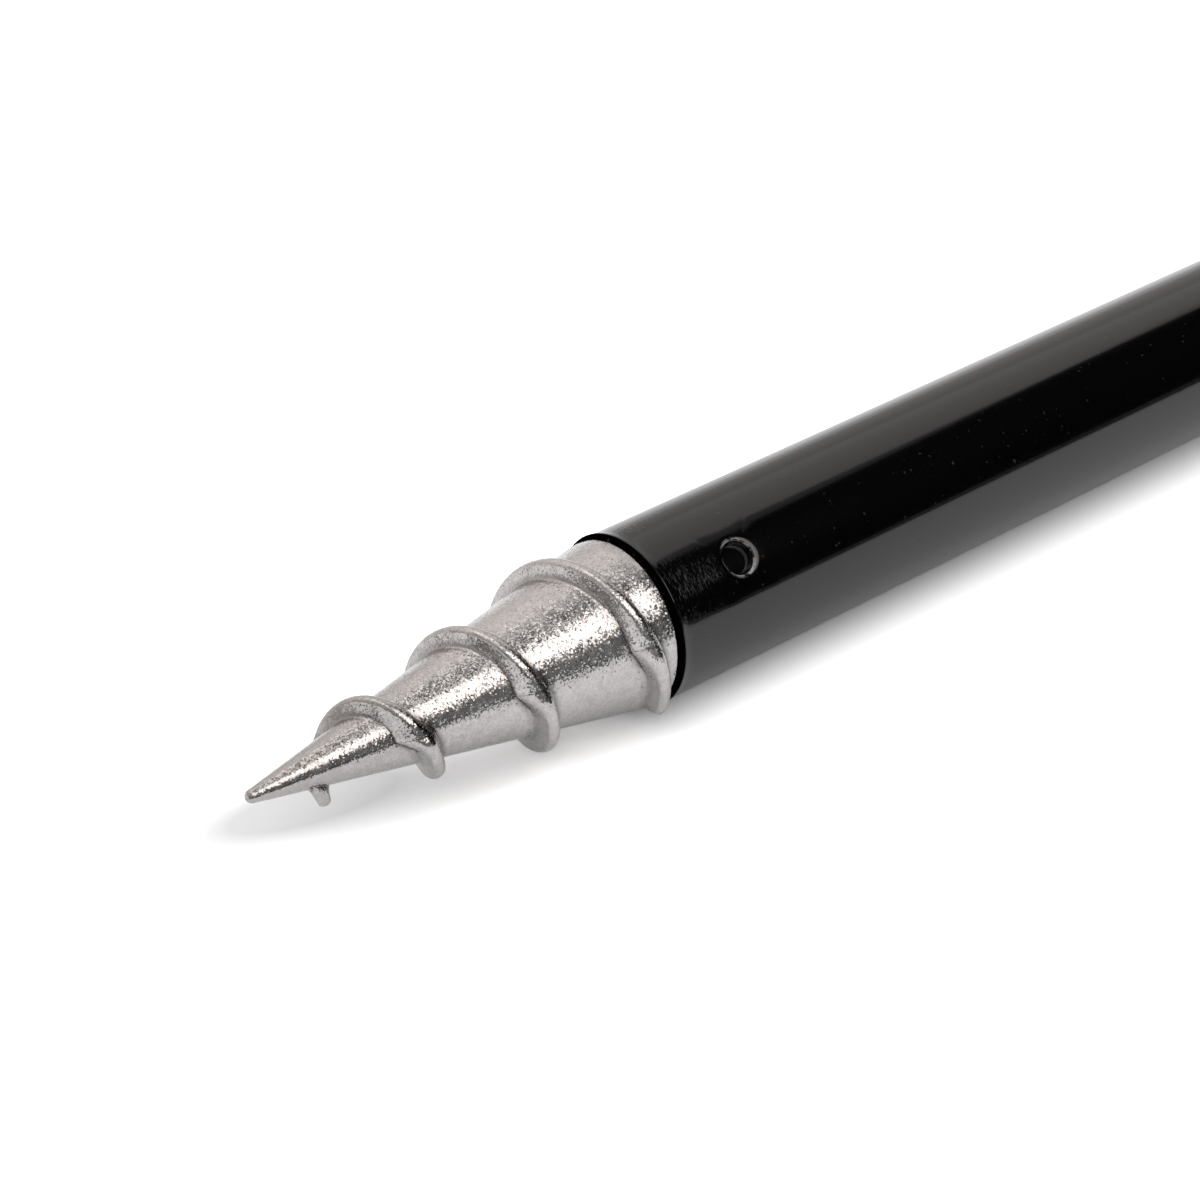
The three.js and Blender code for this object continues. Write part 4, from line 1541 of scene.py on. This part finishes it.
@dataclass(frozen=True)
class Wall:
    """A part of the room, which shows only in reflections."""

    name: str
    azimuths: tuple[float, float]  # first and last direction, in degrees from +Y towards +X
    heights: tuple[float, float]  # lowest and highest angle above the table, in degrees
    shade: float  # how bright it is; the surround has 1
    colour: str = WHITE
    distance: float = 3.0  # m

    def build(self, focus: Vector, across: int = 24, up: int = 12) -> None:
        """Builds the wall.

        Args:
            focus: The middle of the room, in metres.
            across: Number of flats across it.
            up: Number of flats from its foot to its top.
        """
        (left, right), (low, high) = self.azimuths, self.heights
        azimuths = [left + (right - left) * i / across for i in range(across + 1)]
        elevations = [low + (high - low) * i / up for i in range(up + 1)]
        rows = [[focus + direction(a, e) * self.distance for a in azimuths] for e in elevations]
        material, tree = new_material(self.name)
        light = add(tree, "Emission", {"Color": linear(self.colour), "Strength": self.shade})
        add(tree, "OutputMaterial", (light,))
        wall = stage_sheet(self.name, rows, material)
        wall.visible_camera = wall.visible_diffuse = wall.visible_shadow = wall.visible_transmission = False


@dataclass(frozen=True)
class SoftBox:
    """A soft box that looks at the auger."""

    name: str
    azimuth: float  # degrees from +Y towards +X
    elevation: float  # degrees above the table
    distance: float  # m
    size: tuple[float, float]  # width and height, m
    power: float  # W
    colour: str

    def build(self, focus: Vector) -> None:
        """Adds the lamp, turned towards the focus.

        Args:
            focus: The point that it looks at, in metres.
        """
        data = bpy.data.lights.new(self.name, "AREA")
        data.shape, data.size, data.size_y = "RECTANGLE", *self.size
        data.energy, data.color = self.power, linear(self.colour)[:3]
        lamp = bpy.data.objects.new(self.name, data)
        out = direction(self.azimuth, self.elevation)
        lamp.location = focus + out * self.distance
        lamp.rotation_mode = "QUATERNION"
        lamp.rotation_quaternion = out.to_track_quat("Z", "Y")
        lamp.visible_diffuse = False
        bpy.context.scene.collection.objects.link(lamp)


# The room as the photographed metal and enamel mirror it.
WALLS = (
    Wall("dark_side", (88.0, 152.0), (0.5, 65.0), 0.0),
    Wall("table_end", (112.0, 200.0), (-4.0, 0.6), 0.0, distance=0.3),
    Wall("dim_side", (152.0, 200.0), (0.5, 66.0), 0.17),
    Wall("dark_end", (200.0, 256.0), (0.5, 22.0), 0.08),
    Wall("end_high", (200.0, 256.0), (22.0, 70.0), 0.5),
    Wall("left_wall", (256.0, 300.0), (0.5, 68.0), 0.6, WARM_WALL),
    Wall("dark_ceiling", (40.0, 140.0), (65.0, 80.0), 0.0),
    Wall("light_ceiling", (140.0, 402.0), (70.0, 79.0), 1.0, WARM_LIGHT),
    Wall("zenith", (0.0, 360.0), (80.0, 90.0), 2.0, WARM_LIGHT),
    Wall("skylight", (-40.0, 25.0), (66.0, 80.0), 2.0, WARM_LIGHT, 2.9),
    Wall("white_wall", (-60.0, 36.0), (8.0, 70.0), 0.9, WARM_WALL),
    Wall("grey_wall", (36.0, 88.0), (8.0, 66.0), 0.72, WARM_WALL),
)
SOFT_BOXES = (
    SoftBox("key", 172.0, 48.0, 1.6, (1.5, 0.86), 12.0, WARM_LIGHT),
    SoftBox("back", 35.0, 58.0, 1.8, (2.4, 2.0), 4.0, WHITE),
)


@dataclass
class Studio:
    """A white table, a white surround, two soft boxes and the room behind the camera."""

    focus: Vector = field(default_factory=lambda: Vector((-0.16, 0.0104, 0.0125)))
    ambient: tuple[float, float] = (0.3, 1.4)  # the surround's light at the horizon and overhead
    lens: float = 105.0  # mm, on a film 36 mm wide
    camera_place: Vector = field(default_factory=lambda: Vector((-0.391904, -0.230676, 0.213493)))
    camera_right: Vector = field(default_factory=lambda: Vector((0.74430, -0.66784, 0.0)))
    camera_up: Vector = field(default_factory=lambda: Vector((0.34707, 0.38681, 0.85435)))
    table: str = "#DADADA"
    table_half: float = 6.0  # m
    table_slope: float = 1.55 / 360.0  # the collar lifts the stick's far end
    table_touch: float = 0.1862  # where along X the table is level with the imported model's ground, m
    # A pool of shade on the table round the point: its middle, half sizes and turn.
    shade_centre: tuple[float, float, float] = (-0.2097, 0.0179, 0.0)
    shade_size: tuple[float, float, float] = (0.0328, 0.0112, 0.05)
    shade_turn: float = -0.197
    shade_core: float = 0.7
    # What is added to the table's own colour, away from the pool and in it.
    seen_lift: tuple[float, float] = (1.43, 0.14)
    mirrored_lift: tuple[float, float] = (0.5, 0.2)

    def camera(self) -> None:
        """Sets the camera at the photographed angle."""
        data = bpy.data.cameras.new("camera")
        data.lens, data.sensor_width = self.lens, 36.0
        data.clip_start, data.clip_end = 0.01, 50.0
        camera = bpy.data.objects.new("camera", data)
        back = self.camera_right.cross(self.camera_up)
        turned = Matrix((self.camera_right, self.camera_up, back)).transposed().to_4x4()
        camera.matrix_world = Matrix.Translation(self.camera_place) @ turned
        bpy.context.scene.collection.objects.link(camera)
        bpy.context.scene.camera = camera

    def world(self) -> None:
        """Makes the white surround: full white to the eye and in reflections, softer as light."""
        world = bpy.data.worlds.new("studio")
        bpy.context.scene.world = world
        world.use_nodes = True
        tree = world.node_tree
        tree.nodes.clear()
        towards = add(tree, "TexCoord", out="Generated")
        up = add(tree, "SeparateXYZ", (towards,), "Z")
        level = add(tree, "MapRange", (up, 0.0, 1.0, *self.ambient))
        for ray in ("Is Camera Ray", *GLOSSY_RAYS):
            level = add(tree, "Math", (level, add(tree, "LightPath", out=ray)), operation="MAXIMUM")
        white = add(tree, "Background", {"Color": linear(WHITE), "Strength": level})
        add(tree, "OutputWorld", (white,))

    def floor(self) -> None:
        """Lays the table, which touches the flight at one end and the collar at the other."""
        half = self.table_half
        rows = [
            [Vector((x, y, (self.table_touch - x) * self.table_slope)) for x in (-half, half)]
            for y in (-half, half)
        ]
        material, tree = new_material("table_white_laminate")
        spot = add(
            tree,
            "Mapping",
            {
                "Vector": add(tree, "TexCoord", out="Object"),
                "Location": self.shade_centre,
                "Rotation": (0.0, 0.0, self.shade_turn),
                "Scale": self.shade_size,
            },
            vector_type="TEXTURE",
        )
        pool = add(tree, "TexGradient", (spot,), "Fac", gradient_type="SPHERICAL")
        lift = 0.0
        for rays, levels in (("Is Camera Ray",), self.seen_lift), (GLOSSY_RAYS, self.mirrored_lift):
            bright = add(tree, "MapRange", (pool, 0.0, self.shade_core, *levels))
            for ray in rays:
                path = add(tree, "LightPath", out=ray)
                lift = add(tree, "Math", (path, bright, lift), operation="MULTIPLY_ADD")
        extra = add(tree, "BsdfDiffuse", {"Color": lift})
        matt = add(tree, "BsdfDiffuse", {"Color": linear(self.table)})
        add(tree, "OutputMaterial", (add(tree, "AddShader", (extra, matt)),))
        stage_sheet("table", rows, material)

    def build(self) -> None:
        """Builds the studio."""
        self.camera()
        self.world()
        self.floor()
        for piece in (*WALLS, *SOFT_BOXES):
            piece.build(self.focus)
        bpy.context.scene.view_settings.view_transform = "Standard"


def corners() -> list[list[float]]:
    """Returns the shown object's lowest and highest corner as plain lists."""
    return [list(corner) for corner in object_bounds()]


def main() -> None:
    """Builds the stick's pieces and the studio."""
    logging.basicConfig(level=logging.INFO, format="%(name)s: %(message)s")
    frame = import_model()

    axis = stick_axis()
    screw = screw_axis(axis)
    nylon = BLACK_NYLON.material()
    acetal = NATURAL_ACETAL.material()
    brass = TURNED_BRASS.material()
    steel = ZINC_PLATED_STEEL.material()
    anodised = SATIN_ANODISED.material()
    rubber = NITRILE_RUBBER.material()

    AugerPoint().dressed(axis)
    outer = StakedTube("outer_tube_enamelled", start=0.0, end=365.0, radius=10.0, dimple_place=11.1)
    enamel = BlackEnamel().material(axis.origin.x, outer.middles(axis))
    dress(outer.build(axis), enamel, Slot.BLACK_ENAMEL, Body.OUTER_STICK, "outer_tube")
    inner = StakedTube(
        "inner_tube_anodised", start=58.0, end=373.3, radius=8.0, dimple_place=364.3, plain_ends=True
    )
    dress(inner.build(axis), anodised, Slot.ANODISED_ALUMINIUM, Body.INNER_SECTION, "inner_tube")
    collar = ClampCollar().build(axis, screw)
    dress(collar, nylon, Slot.BLACK_NYLON, Body.OUTER_STICK, "clamp_collar")
    ThumbScrew().dressed(screw, nylon, brass, steel)
    set_screw = SetScrew().build(screw.reversed())
    dress(set_screw, steel, Slot.STEEL, Body.OUTER_STICK, "collar_set_screw")
    Head().dressed(axis, nylon, brass)

    kept = {
        "guide_bush": acetal,
        "foot_bush": acetal,
        "lock_pad": acetal,
        "foot_pin": steel,
        "foot_ring_1": rubber,
        "foot_ring_2": rubber,
    }
    for node, material in kept.items():
        piece = frame["nodes"][node]
        piece.data.materials.clear()
        piece.data.materials.append(material)
        log.info("%s: kept, with %s", node, material.name)

    Studio().build()


if __name__ == "__main__":
    main()
